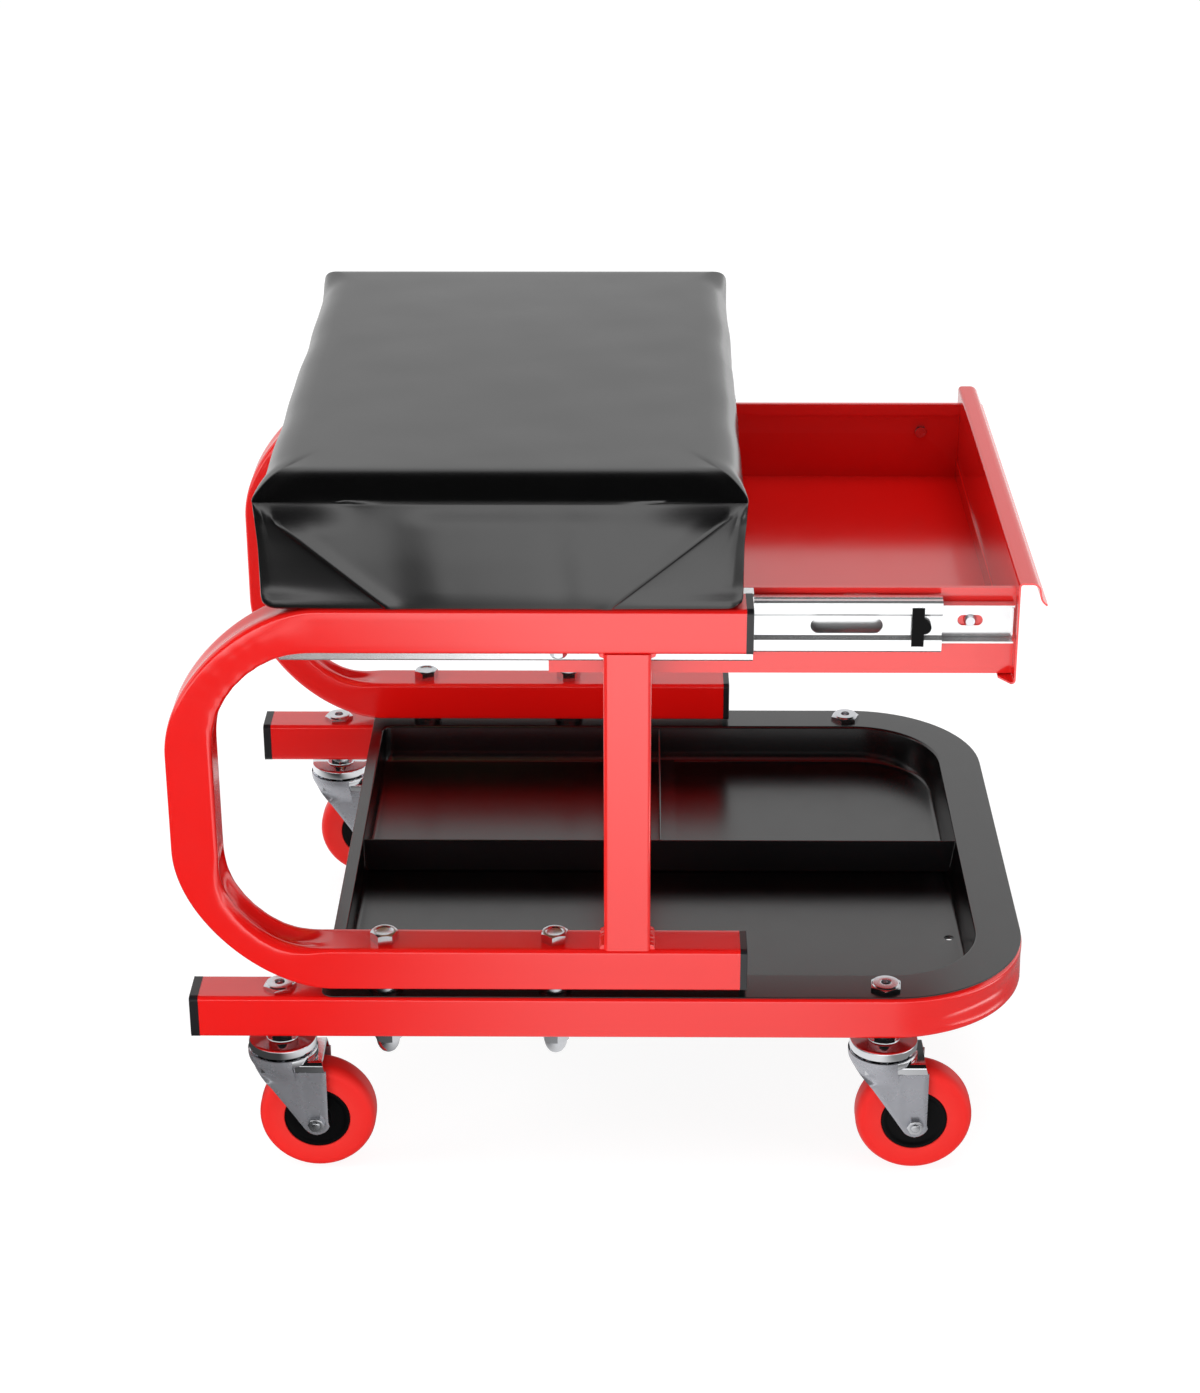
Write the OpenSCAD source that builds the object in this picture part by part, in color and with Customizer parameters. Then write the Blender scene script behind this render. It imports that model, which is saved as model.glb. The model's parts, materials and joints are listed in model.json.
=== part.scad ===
// Rolling creeper seat: padded seat on two bent tube frames, a drawer on ball slides under it,
// a parts tray between the base tubes, and four swivel casters.
// +X is the way the drawer opens, -Y is the left side and +Z is up. The origin is on the floor,
// under the middle of the length and width. The drawer stands open, as it is drawn.

/* [Tubes] */
// Side of the square tube
tube = 25; // [22:0.5:28]
// Wall of the square tube
tube_wall = 1.5; // [1.2:0.1:2]
// Edge radius of the square tube
tube_edge_r = 2; // [1.8:0.1:3]

/* [Base frame] */
// How far the base's closed end stands ahead of the side frames' open ends
front_reach = 162.5; // [148:0.5:183]
// Width across the base tube
base_w = 376; // [360:1:400]
// Outer radius of the base tube's two bends
base_bend_r = 79; // [70:1:95]
// Thickness of the flange of a base end cap
base_cap_t = 5; // [2:0.5:8]

/* [Side frames] */
// Height of a side frame
c_height = 225; // [215:1:240]
// Length of a side frame, from its bow to its open ends
c_reach = 305.5; // [295:0.5:330]
// How far the bow stands behind the base's open ends
c_overhang = 9; // [2:0.5:14]
// Outer radius of the side frame's two bends
c_bend_r = 84; // [75:1:95]
// Depth of the hollow that bending leaves in the inner wall
c_dent = 5; // [0:0.5:7]
// Depth of the dish that bending leaves in the outer wall
c_dish = 1.2; // [0:0.2:2]
// Thickness of the flange of a side frame's end cap
c_cap_t = 3.8; // [2:0.2:5]
// Middle of the post, from the frame's open ends
post_from_end = 61.5; // [45:0.5:75]

/* [Tray] */
// Sheet thickness of the tray and its dividers
tray_sheet = 1; // [0.8:0.1:1.2]
// Tray's rim, from the base's open ends
tray_from_end = 67.5; // [58:0.5:89]
// Depth of the tray below its rim
tray_depth = 23.5; // [16:0.5:30]
// Width of the rim at the tray's open end
tray_rear_rim = 7.5; // [5:0.5:15]
// How far each side wall leans in
tray_side_lean = 4.8; // [2:0.2:10]
// How far the front wall leans in
tray_front_lean = 3.3; // [2:0.1:10]
// Long divider, from the middle of the seat
long_divider_y = 1.5; // [-20:0.5:20]
// Short divider, from the tray's rear wall
short_divider_from_rear = 179.5; // [120:0.5:250]

/* [Seat] */
// Length of the seat pad, along the drawer's way
seat_len = 250; // [235:1:255]
// How far the seat pad stands out past each side frame
seat_over = 2.8; // [2:0.1:12]
// Height of the seat pad
seat_h = 67; // [50:1:90]
// How far the side frames' open ends stand out past the pad
seat_setback = 1.1; // [0:0.1:4]
// Thickness of the plywood board
board_t = 9; // [6:1:12]
// Thickness of the vinyl hem that is folded under the board
hem_t = 1; // [0.8:0.1:1.2]

/* [Drawer] */
// Sheet thickness of the drawer
drawer_sheet = 1; // [0.8:0.1:1.2]
// How much shorter than the slides the drawer's box is
drawer_short = 4; // [2:0.5:20]
// Height of the drawer's sides
drawer_side_h = 49; // [46:0.5:49.5]
// Drawer's floor below the middle of the slides
drawer_drop = 31; // [26:0.5:40]
// Height of the front panel
front_h = 57.5; // [54:0.5:60]
// How far the drawer stands open
drawer_open = 137; // [100:1:150]

/* [Slides] */
// Length of each slide member
slide_len = 250; // [240:1:260]
// Space that a slide takes between the frame and the drawer
slide_gap = 12.7; // [12.4:0.1:13.2]
// Middle of the slides below the top of the side frames
slide_drop = 20.5; // [20:0.1:22]
// Height of the outer member
outer_h = 38; // [37.6:0.1:38.4]
// Sheet thickness of the slide members
slide_sheet = 1; // [0.9:0.05:1.1]
// Diameter of the slides' balls
slide_ball_d = 3.2; // [3:0.1:3.3]
// How far the left middle member stands out
left_middle_open = 99; // [80:1:110]
// How far the right middle member stands out
right_middle_open = 67.5; // [50:0.5:90]

/* [Casters] */
// Diameter of the wheel
wheel_d = 65; // [60:1:70]
// Width of the tyre
wheel_w = 22; // [18:0.5:23]
// Diameter of the hub
hub_d = 36.6; // [30:0.2:42]
// Distance from the swivel axis back to the axle
trail = 18; // [15:0.5:20]
// Outer width of the fork
fork_w = 30; // [29.5:0.1:31]
// Sheet thickness of the fork
fork_sheet = 1.6; // [1.4:0.1:2]
// Diameter of the swivel head
head_d = 38.4; // [36:0.2:40]
// Diameter of the swivel balls
head_ball_d = 5; // [4:0.2:5.4]
// Rear swivel axes, from the base's open ends
rear_caster_in = 44; // [42:0.5:50]
// Front swivel axes, from the base's closed end
front_caster_in = 82; // [80:1:120]

/* [Fasteners] */
// Diameter of the frame bolts and of the caster stems
bolt_d = 10; // [8:0.5:10.5]
// Width across flats of the frame bolts, frame nuts and stem nuts
bolt_af = 16; // [15:0.5:17]
// Thickness of the washers between the side frames and the tray's rim
spacer_t = 4; // [2:0.5:8]
// Front frame bolt, from the side frame's open ends
bolt_from_end = 101; // [90:1:120]
// Rear frame bolt, ahead of the side frame's bends
bolt_from_bend = 27.5; // [20:0.5:50]
// Diameter of the seat bolts
seat_bolt_d = 5; // [4:0.5:6]
// Seat bolt, from the side frame's open ends
seat_bolt_from_end = 97.5; // [90:0.5:150]

/* [Hidden] */
$fn = 48;

// Colours
red = [0.86, 0.09, 0.08];
black = [0.09, 0.09, 0.10];
zinc = [0.80, 0.81, 0.83];
vinyl = [0.13, 0.13, 0.14];
ply = [0.78, 0.62, 0.42];
foam = [0.93, 0.89, 0.70];

// Clearances and overruns
over = 1;           // how far a cut runs past the face that it opens
run_gap = 0.05;     // radial play of a pin in its bore
bolt_gap = 0.3;     // radial play of a bolt in its hole
fit_gap = 0.2;      // play round a plug or a divider
ball_gap = 0.1;     // play between a ball and its track

// Casters, from the floor up
wheel_r = wheel_d / 2;
wheel_clear = 1.9;                                  // over the wheel, under the fork's top
fork_z0 = wheel_d + wheel_clear;
fork_z1 = fork_z0 + fork_sheet;
race_h = 5.7;                                       // height of the fork's ball race
race_z1 = fork_z1 + race_h;
cap_sheet = 1.6;                                    // sheet of the swivel cap
cap_z1 = race_z1 + head_ball_d + 2 * ball_gap + cap_sheet;
collar_h = 5.5;                                     // height of the collar on the swivel cap
collar_d = 17;
cap_skirt_h = 8.4;
shoulder_d = 37;                                    // round shoulder of the fork's top
race_d = 33.6;
ball_ring_d = 23;
ball_count = 8;
rivet_d = 14;                                       // head that holds the fork on the stem
rivet_h = 2.3;
fork_lead = 16;                                     // fork's front edge, ahead of the swivel axis
fork_lip_h = 3;                                     // height of the fork's upright front edge
fork_end_r = 8;                                     // round end of the fork's legs
fork_bend_r = 4;
axle_d = 6;
axle_end_d = 5;
axle_nut_af = 8;
axle_nut_h = 4;
axle_past_nut = 1;
hub_w = 25.6;
hub_boss_d = 14;
hub_dish = 3.2;                                     // depth of the hub's hollow sides
hub_side_in = 1;                                    // hub's rim lies this far inside the tyre's sides
hub_rim = 2;
hub_slope = 1;                                      // width of the slopes of the hub's hollow
tyre_bevel = 1;
tyre_edge_r = 4;
stem_nut_h = 6;
stem_past_nut = 1;

// Heights of the frame
base_z0 = cap_z1 + collar_h;
base_z1 = base_z0 + tube;
rim_z1 = base_z1 + tray_sheet;
c_z0 = rim_z1 + spacer_t;
c_z1 = c_z0 + c_height;
tube_mid = tube / 2;
base_mid_z = base_z0 + tube_mid;
slide_z = c_z1 - slide_drop;

// Places along X and Y
base_len = c_reach - c_overhang + front_reach;
base_x1 = (base_len + c_overhang) / 2;
base_x0 = base_x1 - base_len;
c_x0 = base_x0 - c_overhang;
c_x1 = c_x0 + c_reach;
leg_y = base_w / 2 - tube_mid;                      // middle of every tube that runs along X
inner_y = base_w / 2 - tube;                        // inner faces of the tubes
bolt_xs = [c_x0 + c_bend_r + bolt_from_bend, c_x1 - bolt_from_end];
post_x = c_x1 - post_from_end;
seat_bolt_x = c_x1 - seat_bolt_from_end;
rear_caster_x = base_x0 + rear_caster_in;
front_caster_x = base_x1 - front_caster_in;

// Points of a rectangle with round corners, from the rear edge to the front edge
function arc(c, r, a0, a1, n) = [for (i = [0:n]) let(a = a0 + (a1 - a0) * i / n)
    [c[0] + r * cos(a), c[1] + r * sin(a)]];
function round_rect(x0, x1, y, r_rear, r_front, n) = concat(
    arc([x1 - r_front, -y + r_front], r_front, -90, 0, n),
    arc([x1 - r_front, y - r_front], r_front, 0, 90, n),
    arc([x0 + r_rear, y - r_rear], r_rear, 90, 180, n),
    arc([x0 + r_rear, -y + r_rear], r_rear, 180, 270, n));

// Outline of a folded strip of sheet t thick whose middle follows path
function unit(v) = v / norm(v);
function side_of(v) = [-v[1], v[0]];
function corner_normal(p, i) = let(last = len(p) - 1,
    a = side_of(unit(i > 0 ? p[i] - p[i - 1] : p[1] - p[0])),
    b = side_of(unit(i < last ? p[i + 1] - p[i] : p[last] - p[last - 1])),
    m = unit(a + b)) m / (m * a);
function strip(p, t) = let(last = len(p) - 1) concat(
    [for (i = [0:last]) p[i] + corner_normal(p, i) * t / 2],
    [for (i = [last:-1:0]) p[i] - corner_normal(p, i) * t / 2]);

// Faces of a closed skin over m rings of n points; flip where the rings turn the other way
function skin_faces(n, m, flip = false) = let(
    sides = [for (j = [0:m - 2], i = [0:n - 1]) let(a = j * n + i, b = j * n + (i + 1) % n,
        c = a + n, d = b + n) each [[a, b, d], [a, d, c]]],
    first = [for (i = [n - 1:-1:0]) i],
    last = [for (i = [0:n - 1]) (m - 1) * n + i],
    all = concat(sides, [first, last]))
    flip ? [for (f = all) [for (i = [len(f) - 1:-1:0]) f[i]]] : all;
module skin(rings, flip = false)
    polyhedron([for (r = rings) each r], skin_faces(len(rings[0]), len(rings), flip));
function lift(points, z) = [for (p = points) [p[0], p[1], z]];

// Square tube of side s and edge radius r, lying along X from x0 to x1
module tube_2d(s, r) polygon(round_rect(-s / 2, s / 2, s / 2, r, r, 4));
module bar_x(x0, x1, s, r) translate([x0, 0, 0]) rotate([90, 0, 90])
    linear_extrude(x1 - x0) tube_2d(s, r);
tube_in = tube - 2 * tube_wall;
tube_in_r = tube_edge_r - tube_wall;

// Hexagon of width across flats af, with its rim turned down at the top
hex_bevel_share = 0.13;
hex_corner_share = 1.1547;                          // a hexagon's corners over its flats
module hex(af, h) {
    corner_r = af / 2 * hex_corner_share;
    bevel = af * hex_bevel_share;
    intersection() {
        cylinder(h = h, r = corner_r, $fn = 6);
        cylinder(h = h, r1 = af / 2 + h / 2 + bevel, r2 = af / 2 - bevel / 5);
    }
}

module copy_sides() for (s = [-1, 1]) translate([0, s * leg_y, 0]) children();
module mirrored() mirror([0, 1, 0]) children();

// Base frame: one tube bent to a U, with its two ends open at the rear
base_mid_r = base_bend_r - tube_mid;
base_straight_x1 = base_x1 - base_bend_r;
module base_bar(s, r, extra) {
    copy_sides() bar_x(base_x0 - extra, base_straight_x1, s, r);
    for (k = [-1, 1]) translate([base_straight_x1, k * (leg_y - base_mid_r), 0])
        rotate([0, 0, k < 0 ? -90 : 0]) rotate_extrude(angle = 90)
            translate([base_mid_r, 0]) tube_2d(s, r);
    translate([base_x1 - tube_mid, 0, 0]) rotate([0, 0, 90])
        bar_x(-(leg_y - base_mid_r), leg_y - base_mid_r, s, r);
}
module base_holes() copy_sides() {
    for (x = bolt_xs) translate([x, 0, base_z0 - over])
        cylinder(h = tube + 2 * over, d = bolt_d + 2 * bolt_gap);
    for (x = [rear_caster_x, front_caster_x]) translate([x, 0, base_z0 - over])
        cylinder(h = tube + 2 * over, d = bolt_d + 2 * bolt_gap);
}
module base_frame() color(red) difference() {
    translate([0, 0, base_mid_z]) difference() {
        base_bar(tube, tube_edge_r, 0);
        base_bar(tube_in, tube_in_r, over);
    }
    base_holes();
}

// End cap: a flange as wide as the tube and a plug inside it; the cap looks along -X
plug_len = 12;
module end_cap(t) {
    bar_x(-t, 0, tube, tube_edge_r);
    bar_x(0, plug_len, tube_in - 2 * fit_gap, tube_in_r);
}
module base_end_caps() color(black) copy_sides() translate([base_x0, 0, base_mid_z])
    end_cap(base_cap_t);
module side_frame_caps() color(black) copy_sides() for (z = [c_z0 + tube_mid, c_z1 - tube_mid])
    translate([c_x1, 0, z]) rotate([0, 0, 180]) end_cap(c_cap_t);

// Side frame: one tube swept along a C. The bends have a hollow inner wall and a dished outer one.
c_mid_r = c_bend_r - tube_mid;
c_bow_x = c_x0 + c_bend_r;
wall_shares = [-1, -0.5, 0, 0.5, 1];
function flute(t) = pow(cos(90 * t), 2);
function tube_ring(s, r, dent, dish) = let(h = s / 2, c = h - r) concat(
    [for (t = wall_shares) [h - dish * flute(t), c * t]],
    [for (a = [30, 60, 90]) [c + r * cos(a), c + r * sin(a)]],
    [for (a = [90, 120, 150]) [-c + r * cos(a), c + r * sin(a)]],
    [for (t = wall_shares) [-h + dent * flute(t), -c * t]],
    [for (a = [210, 240, 270]) [-c + r * cos(a), -c + r * sin(a)]],
    [for (a = [270, 300, 330]) [c + r * cos(a), -c + r * sin(a)]]);
bend_steps = 10;
// Each stop of the sweep: x, z, the angle that points out of the bend, and how far it is bent
function c_bend(cz, a0, a1) = [for (i = [0:bend_steps]) let(a = a0 + (a1 - a0) * i / bend_steps)
    [c_bow_x + c_mid_r * cos(a), cz + c_mid_r * sin(a), a, pow(sin(180 * i / bend_steps), 2)]];
c_arm_x0 = c_bow_x + tube_edge_r;                    // straight arms start a little ahead of the bends
function c_stops(extra) = concat(
    [[c_arm_x0 + extra, c_z0 + tube_mid, -90, 0]],
    c_bend(c_z0 + c_bend_r, -90, -180),
    c_bend(c_z1 - c_bend_r, 180, 90),
    [[c_arm_x0 + extra, c_z1 - tube_mid, 90, 0]]);
module c_bow(s, r, extra) skin([for (p = c_stops(extra))
    [for (q = tube_ring(s, r, c_dent * p[3], c_dish * p[3]))
        [p[0] + q[0] * cos(p[2]), q[1], p[1] + q[0] * sin(p[2])]]]);
module c_arm(s, r, extra) translate([c_arm_x0 - extra, 0, 0]) rotate([90, 0, 90])
    linear_extrude(c_x1 - c_arm_x0 + 2 * extra)
        polygon([for (q = tube_ring(s, r, 0, 0)) [q[1], q[0]]]);
module c_arms() for (z = [c_z0 + tube_mid, c_z1 - tube_mid]) translate([0, 0, z]) difference() {
    c_arm(tube, tube_edge_r, 0);
    c_arm(tube_in, tube_in_r, over);
}
module side_frame() color(red) difference() {
    union() {
        difference() {
            c_bow(tube, tube_edge_r, 0);
            c_bow(tube_in, tube_in_r, over);
        }
        c_arms();
    }
    for (x = bolt_xs) translate([x, 0, c_z0 - over])
        cylinder(h = tube + 2 * over, d = bolt_d + 2 * bolt_gap);
    translate([seat_bolt_x, 0, c_z1 - tube - over])
        cylinder(h = tube + 2 * over, d = seat_bolt_d + 2 * bolt_gap);
    for (x = outer_screw_xs) translate([x, tube_in / 2 - over, slide_z]) rotate([-90, 0, 0])
        cylinder(h = tube_wall + 2 * over, d = slide_screw_d + 2 * run_gap);
}
module left_side_frame() translate([0, -leg_y, 0]) side_frame();
module right_side_frame() mirrored() left_side_frame();

// Post: a short upright tube, butt welded between the two arms of its side frame
module post() color(red) translate([post_x, 0, c_z0 + tube])
    linear_extrude(c_height - 2 * tube) difference() {
        tube_2d(tube, tube_edge_r);
        tube_2d(tube_in, tube_in_r);
    }
module left_post() translate([0, -leg_y, 0]) post();
module right_post() mirrored() left_post();

// Frame bolts, their washers and dome nuts
bolt_head_h = 6.4;
dome_hex_h = 8;
dome_h = 15.5;
dome_wall = 4;
spacer_d = 22;
module at_bolts() copy_sides() for (x = bolt_xs) translate([x, 0, 0]) children();
module frame_bolts() color(zinc) at_bolts() {
    translate([0, 0, c_z0 + tube]) hex(bolt_af, bolt_head_h);
    translate([0, 0, base_z0 - dome_h + dome_wall])
        cylinder(h = c_z0 + tube - base_z0 + dome_h - dome_wall, d = bolt_d);
}
module frame_spacers() color(zinc) at_bolts() translate([0, 0, rim_z1]) difference() {
    cylinder(h = spacer_t, d = spacer_d);
    translate([0, 0, -over]) cylinder(h = spacer_t + 2 * over, d = bolt_d + 2 * bolt_gap);
}
// Dome nut, hanging under the base tube
dome_in = 1;                                        // dome's foot inside the nut's flats
dome_r = bolt_af / 2 - dome_in;
module frame_dome_nuts() color(zinc) at_bolts() translate([0, 0, base_z0]) difference() {
    union() {
        mirror([0, 0, 1]) hex(bolt_af, dome_hex_h);
        rotate_extrude() polygon(concat([[0, -dome_hex_h / 2]], [[dome_r, -dome_hex_h / 2]],
            arc([0, -dome_h + dome_r], dome_r, 0, -90, 8)));
    }
    translate([0, 0, -dome_h + dome_wall - fit_gap])
        cylinder(h = dome_h, d = bolt_d + 2 * run_gap);
}

// Tray: a flat rim that lies on the base tubes, and a pan that hangs between them
rim_inset = 0.5;
pan_gap = 0.5;                                      // between the pan and the base tubes
tray_x1 = base_x1 - rim_inset;
tray_x0 = base_x0 + tray_from_end;
pan_x0 = tray_x0 + tray_rear_rim - tray_sheet;      // outside of the pan at the rim
pan_x1 = base_x1 - tube - pan_gap;
pan_y = inner_y - pan_gap;
pan_rear_r = 7;
pan_front_r = base_bend_r - tube - pan_gap;
pan_z0 = rim_z1 - tray_depth;
tray_floor_z = pan_z0 + tray_sheet;
corner_steps = 7;
// Outline of the pan at height z, offset inward by t; it leans in below the rim
function lean_share(z) = (base_z1 - z) / (base_z1 - pan_z0);
function pan_outline(z, t) = let(k = lean_share(z)) round_rect(pan_x0 + t,
    pan_x1 - t - tray_front_lean * k, pan_y - t - tray_side_lean * k,
    pan_rear_r - t, pan_front_r - t - tray_side_lean * k, corner_steps);
pan_foot_r = 4;                                     // outer radius between the floor and the walls
pan_foot_shares = [[0, 1], [0.13, 0.5], [0.5, 0.13]];   // height and inset on that radius
module pan(z0, z1, t) let(r = pan_foot_r - t) skin(concat(
    [for (k = pan_foot_shares) lift(pan_outline(z0 + k[0] * r, t + k[1] * r), z0 + k[0] * r)],
    [lift(pan_outline(z0 + r, t), z0 + r), lift(pan_outline(z1, t), z1)]), true);
drain_len = 6;
drain_w = 6;
drain_from_front = 8.3;
drain_y = 79.5;
module tray() color(black) difference() {
    union() {
        translate([0, 0, base_z1]) linear_extrude(tray_sheet) polygon(round_rect(
            tray_x0, tray_x1, base_w / 2 - rim_inset, pan_rear_r, base_bend_r - rim_inset, 16));
        pan(pan_z0, base_z1, 0);
    }
    pan(tray_floor_z, rim_z1 + over, tray_sheet);
    at_bolts() translate([0, 0, base_z1 - over])
        cylinder(h = tray_sheet + 2 * over, d = bolt_d + 2 * bolt_gap);
    copy_sides() translate([front_caster_x, 0, base_z1 - over])
        cylinder(h = tray_sheet + 2 * over, d = bolt_d + 2 * bolt_gap);
    translate([pan_x1 - tray_front_lean - drain_from_front, -drain_y, pan_z0 - over])
        linear_extrude(tray_sheet + 2 * over) square([drain_w, drain_len], center = true);
}

// Dividers: sheet with a foot that is spot welded to the tray's floor
divider_foot = 10;
divider_drop = 1;                                   // top edge below the top of the rim
divider_z1 = rim_z1 - divider_drop;
function wall_x(z) = pan_x1 - tray_sheet - tray_front_lean * lean_share(z) - fit_gap;
function wall_y(z) = pan_y - tray_sheet - tray_side_lean * lean_share(z) - fit_gap;
pan_rear_x = pan_x0 + tray_sheet + fit_gap;
foot_cut = pan_foot_r - tray_sheet;                 // dividers' corners clear the pan's radius
foot_in = foot_cut + fit_gap;
foot_z = tray_floor_z + foot_cut;
module tray_long_divider() color(black) translate([0, long_divider_y, 0]) {
    translate([0, tray_sheet / 2, 0]) rotate([90, 0, 0]) linear_extrude(tray_sheet) polygon([
        [pan_rear_x, foot_z], [pan_rear_x + foot_cut, tray_floor_z],
        [wall_x(tray_floor_z) - foot_cut, tray_floor_z], [wall_x(foot_z), foot_z],
        [wall_x(divider_z1), divider_z1], [pan_rear_x, divider_z1]]);
    translate([pan_rear_x + foot_in, 0, tray_floor_z])
        cube([wall_x(tray_floor_z) - pan_rear_x - 2 * foot_in, divider_foot, tray_sheet]);
}
short_divider_x = pan_rear_x + short_divider_from_rear;
short_divider_y0 = long_divider_y + tray_sheet / 2 + fit_gap;
module tray_short_divider() color(black) translate([short_divider_x, 0, 0]) {
    translate([-tray_sheet / 2, 0, 0]) rotate([90, 0, 90]) linear_extrude(tray_sheet) polygon([
        [long_divider_y + divider_foot + fit_gap, tray_floor_z],
        [wall_y(tray_floor_z) - foot_cut, tray_floor_z], [wall_y(foot_z), foot_z],
        [wall_y(divider_z1), divider_z1],
        [short_divider_y0, divider_z1], [short_divider_y0, tray_floor_z + divider_foot],
        [long_divider_y + divider_foot + fit_gap, tray_floor_z + divider_foot]]);
    translate([0, long_divider_y + divider_foot + foot_in, tray_floor_z]) cube([divider_foot,
        wall_y(tray_floor_z) - 2 * foot_in - long_divider_y - divider_foot, tray_sheet]);
}

// Seat pad. The vinyl is folded like a parcel at both ends of the seat's width.
seat_x1 = c_x1 - seat_setback;
seat_x0 = seat_x1 - seat_len;
seat_mid_x = (seat_x0 + seat_x1) / 2;
half_l = seat_len / 2;
half_w = base_w / 2 + seat_over;
cover_t = 4.6;                                      // foam's and board's distance from the pad's sides
pad_corner_r = 7;
hem_w = 12;
side_in = 1.6;                                      // how far the pad's sides draw in
// Each ring of the pad's sides, from the bottom up: shares of its height and of side_in
side_shares = [[0, 0.88], [0.06, 0.5], [0.2, 0.19], [0.38, 0.19], [0.54, 0.5], [0.7, 0.94],
    [0.8, 1], [0.87, 0.44]];
// Each ring of the top, from the rolled edge to the crown: shares of the height, and of half_l for
// its inset from the long sides and from the ends
top_shares = [[0.9, 0.014, 0.03], [0.93, 0.026, 0.045], [0.96, 0.05, 0.068], [0.982, 0.088, 0.096],
    [0.993, 0.132, 0.128], [0.998, 0.19, 0.18], [1, 0.5, 0.5]];
crease_top_share = 0.7;                             // height where the fold's crease starts
crease_top_in = 14;                                 // its distance from the pad's end there
crease_foot_in = 67;                                // and at the bottom
crease_half_w = 1.2;
fold_depth = 2.4;
wave_depth = 0.9;
function crease_in(h) = crease_top_in + (crease_foot_in - crease_top_in)
    * max(0, 1 - h / crease_top_share);
// How far the folded gusset lies behind the flat panel, u from the pad's end
function gusset(u, h) = h >= crease_top_share ? 0
    : u < crease_in(h) ? fold_depth * u / crease_in(h) * min(1, 5 * (crease_top_share - h)) : 0;
// Distances from the pad's end at which a ring has points, between the corner and the middle
function face_stops(h, inset) = let(c = crease_in(h), mid = half_l - c)
    [(pad_corner_r + inset + c - crease_half_w) / 2, c - crease_half_w, c + crease_half_w,
    c + mid * 0.3, c + mid * 0.65];
function wave(v) = wave_depth * (0.5 + 0.5 * sin(720 * v));
end_shares = [-0.66, -0.33, 0, 0.33, 0.66];
// Half of a ring: the panel along +Y from the front corner to the rear one, then the rear end
function half_ring(h, inset) = let(stops = face_stops(h, inset), r = pad_corner_r) concat(
    arc([half_l - inset - r, half_w - inset - r], r, 0, 90, 3),
    [for (u = stops) [half_l - u, half_w - inset - gusset(u, h)]],
    [[0, half_w - inset]],
    [for (i = [len(stops) - 1:-1:0]) [-half_l + stops[i],
        half_w - inset - gusset(stops[i], h)]],
    arc([-half_l + inset + r, half_w - inset - r], r, 90, 180, 3),
    [for (s = end_shares) [-half_l + inset + (h < 0.9 ? wave(s) : 0),
        -(half_w - inset - r) * s]]);
function pad_ring(h, inset) = let(half = half_ring(h, inset))
    [for (p = concat(half, [for (p = half) -p])) [p[0] + seat_mid_x, p[1], c_z1 + h * seat_h]];
function top_ring(h, in_y, in_x) = let(kx = (half_l - in_x) / half_l, ky = (half_w - in_y) / half_w)
    [for (p = pad_ring(h, 0)) [seat_mid_x + (p[0] - seat_mid_x) * kx, p[1] * ky, p[2]]];
// Block inside the cover: straight sides with a chamfered top, g larger all round
block_bevel = 10;
block_top = 6.5;                                    // foam's top below the crown
function block_outline(in) = round_rect(seat_x0 + in, seat_x1 - in, half_w - in,
    pad_corner_r, pad_corner_r, 3);
module block(z0, z1, g) skin([lift(block_outline(cover_t - g), z0),
    lift(block_outline(cover_t - g), z1 - block_bevel + g),
    lift(block_outline(cover_t + block_bevel - g), z1 + g)], true);
board_z0 = c_z1 + hem_t;
board_z1 = board_z0 + board_t;
foam_z1 = c_z1 + seat_h - block_top;
module seat_cover() color(vinyl) difference() {
    skin(concat([for (p = side_shares) pad_ring(p[0], p[1] * side_in)],
        [for (p = top_shares) top_ring(p[0], p[1] * half_l, p[2] * half_l)]), true);
    block(board_z0, foam_z1, fit_gap);
    translate([0, 0, c_z1 - over]) linear_extrude(hem_t + 2 * over) polygon(round_rect(
        seat_x0 + hem_w, seat_x1 - hem_w, half_w - hem_w, pad_corner_r, pad_corner_r, 3));
}
// Tee nuts that take the seat bolts, let into the board from above
tee_d = 7;
tee_flange_d = 16;
tee_flange_t = 1;
tee_in = 1;                                         // barrel's end above the board's underside
module at_seat_bolts() copy_sides() translate([seat_bolt_x, 0, 0]) children();
module seat_foam() color(foam) difference() {
    block(board_z1 - block_bevel, foam_z1, 0);
    translate([seat_x0, -half_w, board_z1 - 2 * block_bevel])
        cube([seat_len, 2 * half_w, 2 * block_bevel]);
    at_seat_bolts() translate([0, 0, board_z1 - over])
        cylinder(h = 2 * tee_flange_t + over + fit_gap, d = tee_flange_d + 2 * fit_gap);
}
module seat_board() color(ply) difference() {
    translate([0, 0, board_z0]) linear_extrude(board_t) polygon(block_outline(cover_t));
    at_seat_bolts() translate([0, 0, board_z0 - over])
        cylinder(h = board_t + 2 * over, d = tee_d + 2 * run_gap);
}
module seat_tee_nuts() color(zinc) at_seat_bolts() difference() {
    union() {
        translate([0, 0, board_z0 + tee_in]) cylinder(h = board_t - tee_in, d = tee_d);
        translate([0, 0, board_z1]) cylinder(h = tee_flange_t, d = tee_flange_d);
    }
    translate([0, 0, board_z0]) cylinder(h = board_t + 2 * over, d = seat_bolt_d + 2 * run_gap);
}
seat_bolt_af = 8;
seat_bolt_head_h = 4.5;
seat_washer_d = 11;
seat_washer_t = 1.5;
module seat_bolts() color(zinc) at_seat_bolts() translate([0, 0, c_z1 - tube]) {
    mirror([0, 0, 1]) cylinder(h = seat_washer_t, d = seat_washer_d);
    translate([0, 0, -seat_washer_t]) mirror([0, 0, 1]) hex(seat_bolt_af, seat_bolt_head_h);
    cylinder(h = tube + hem_t + board_t, d = seat_bolt_d);
}

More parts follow.
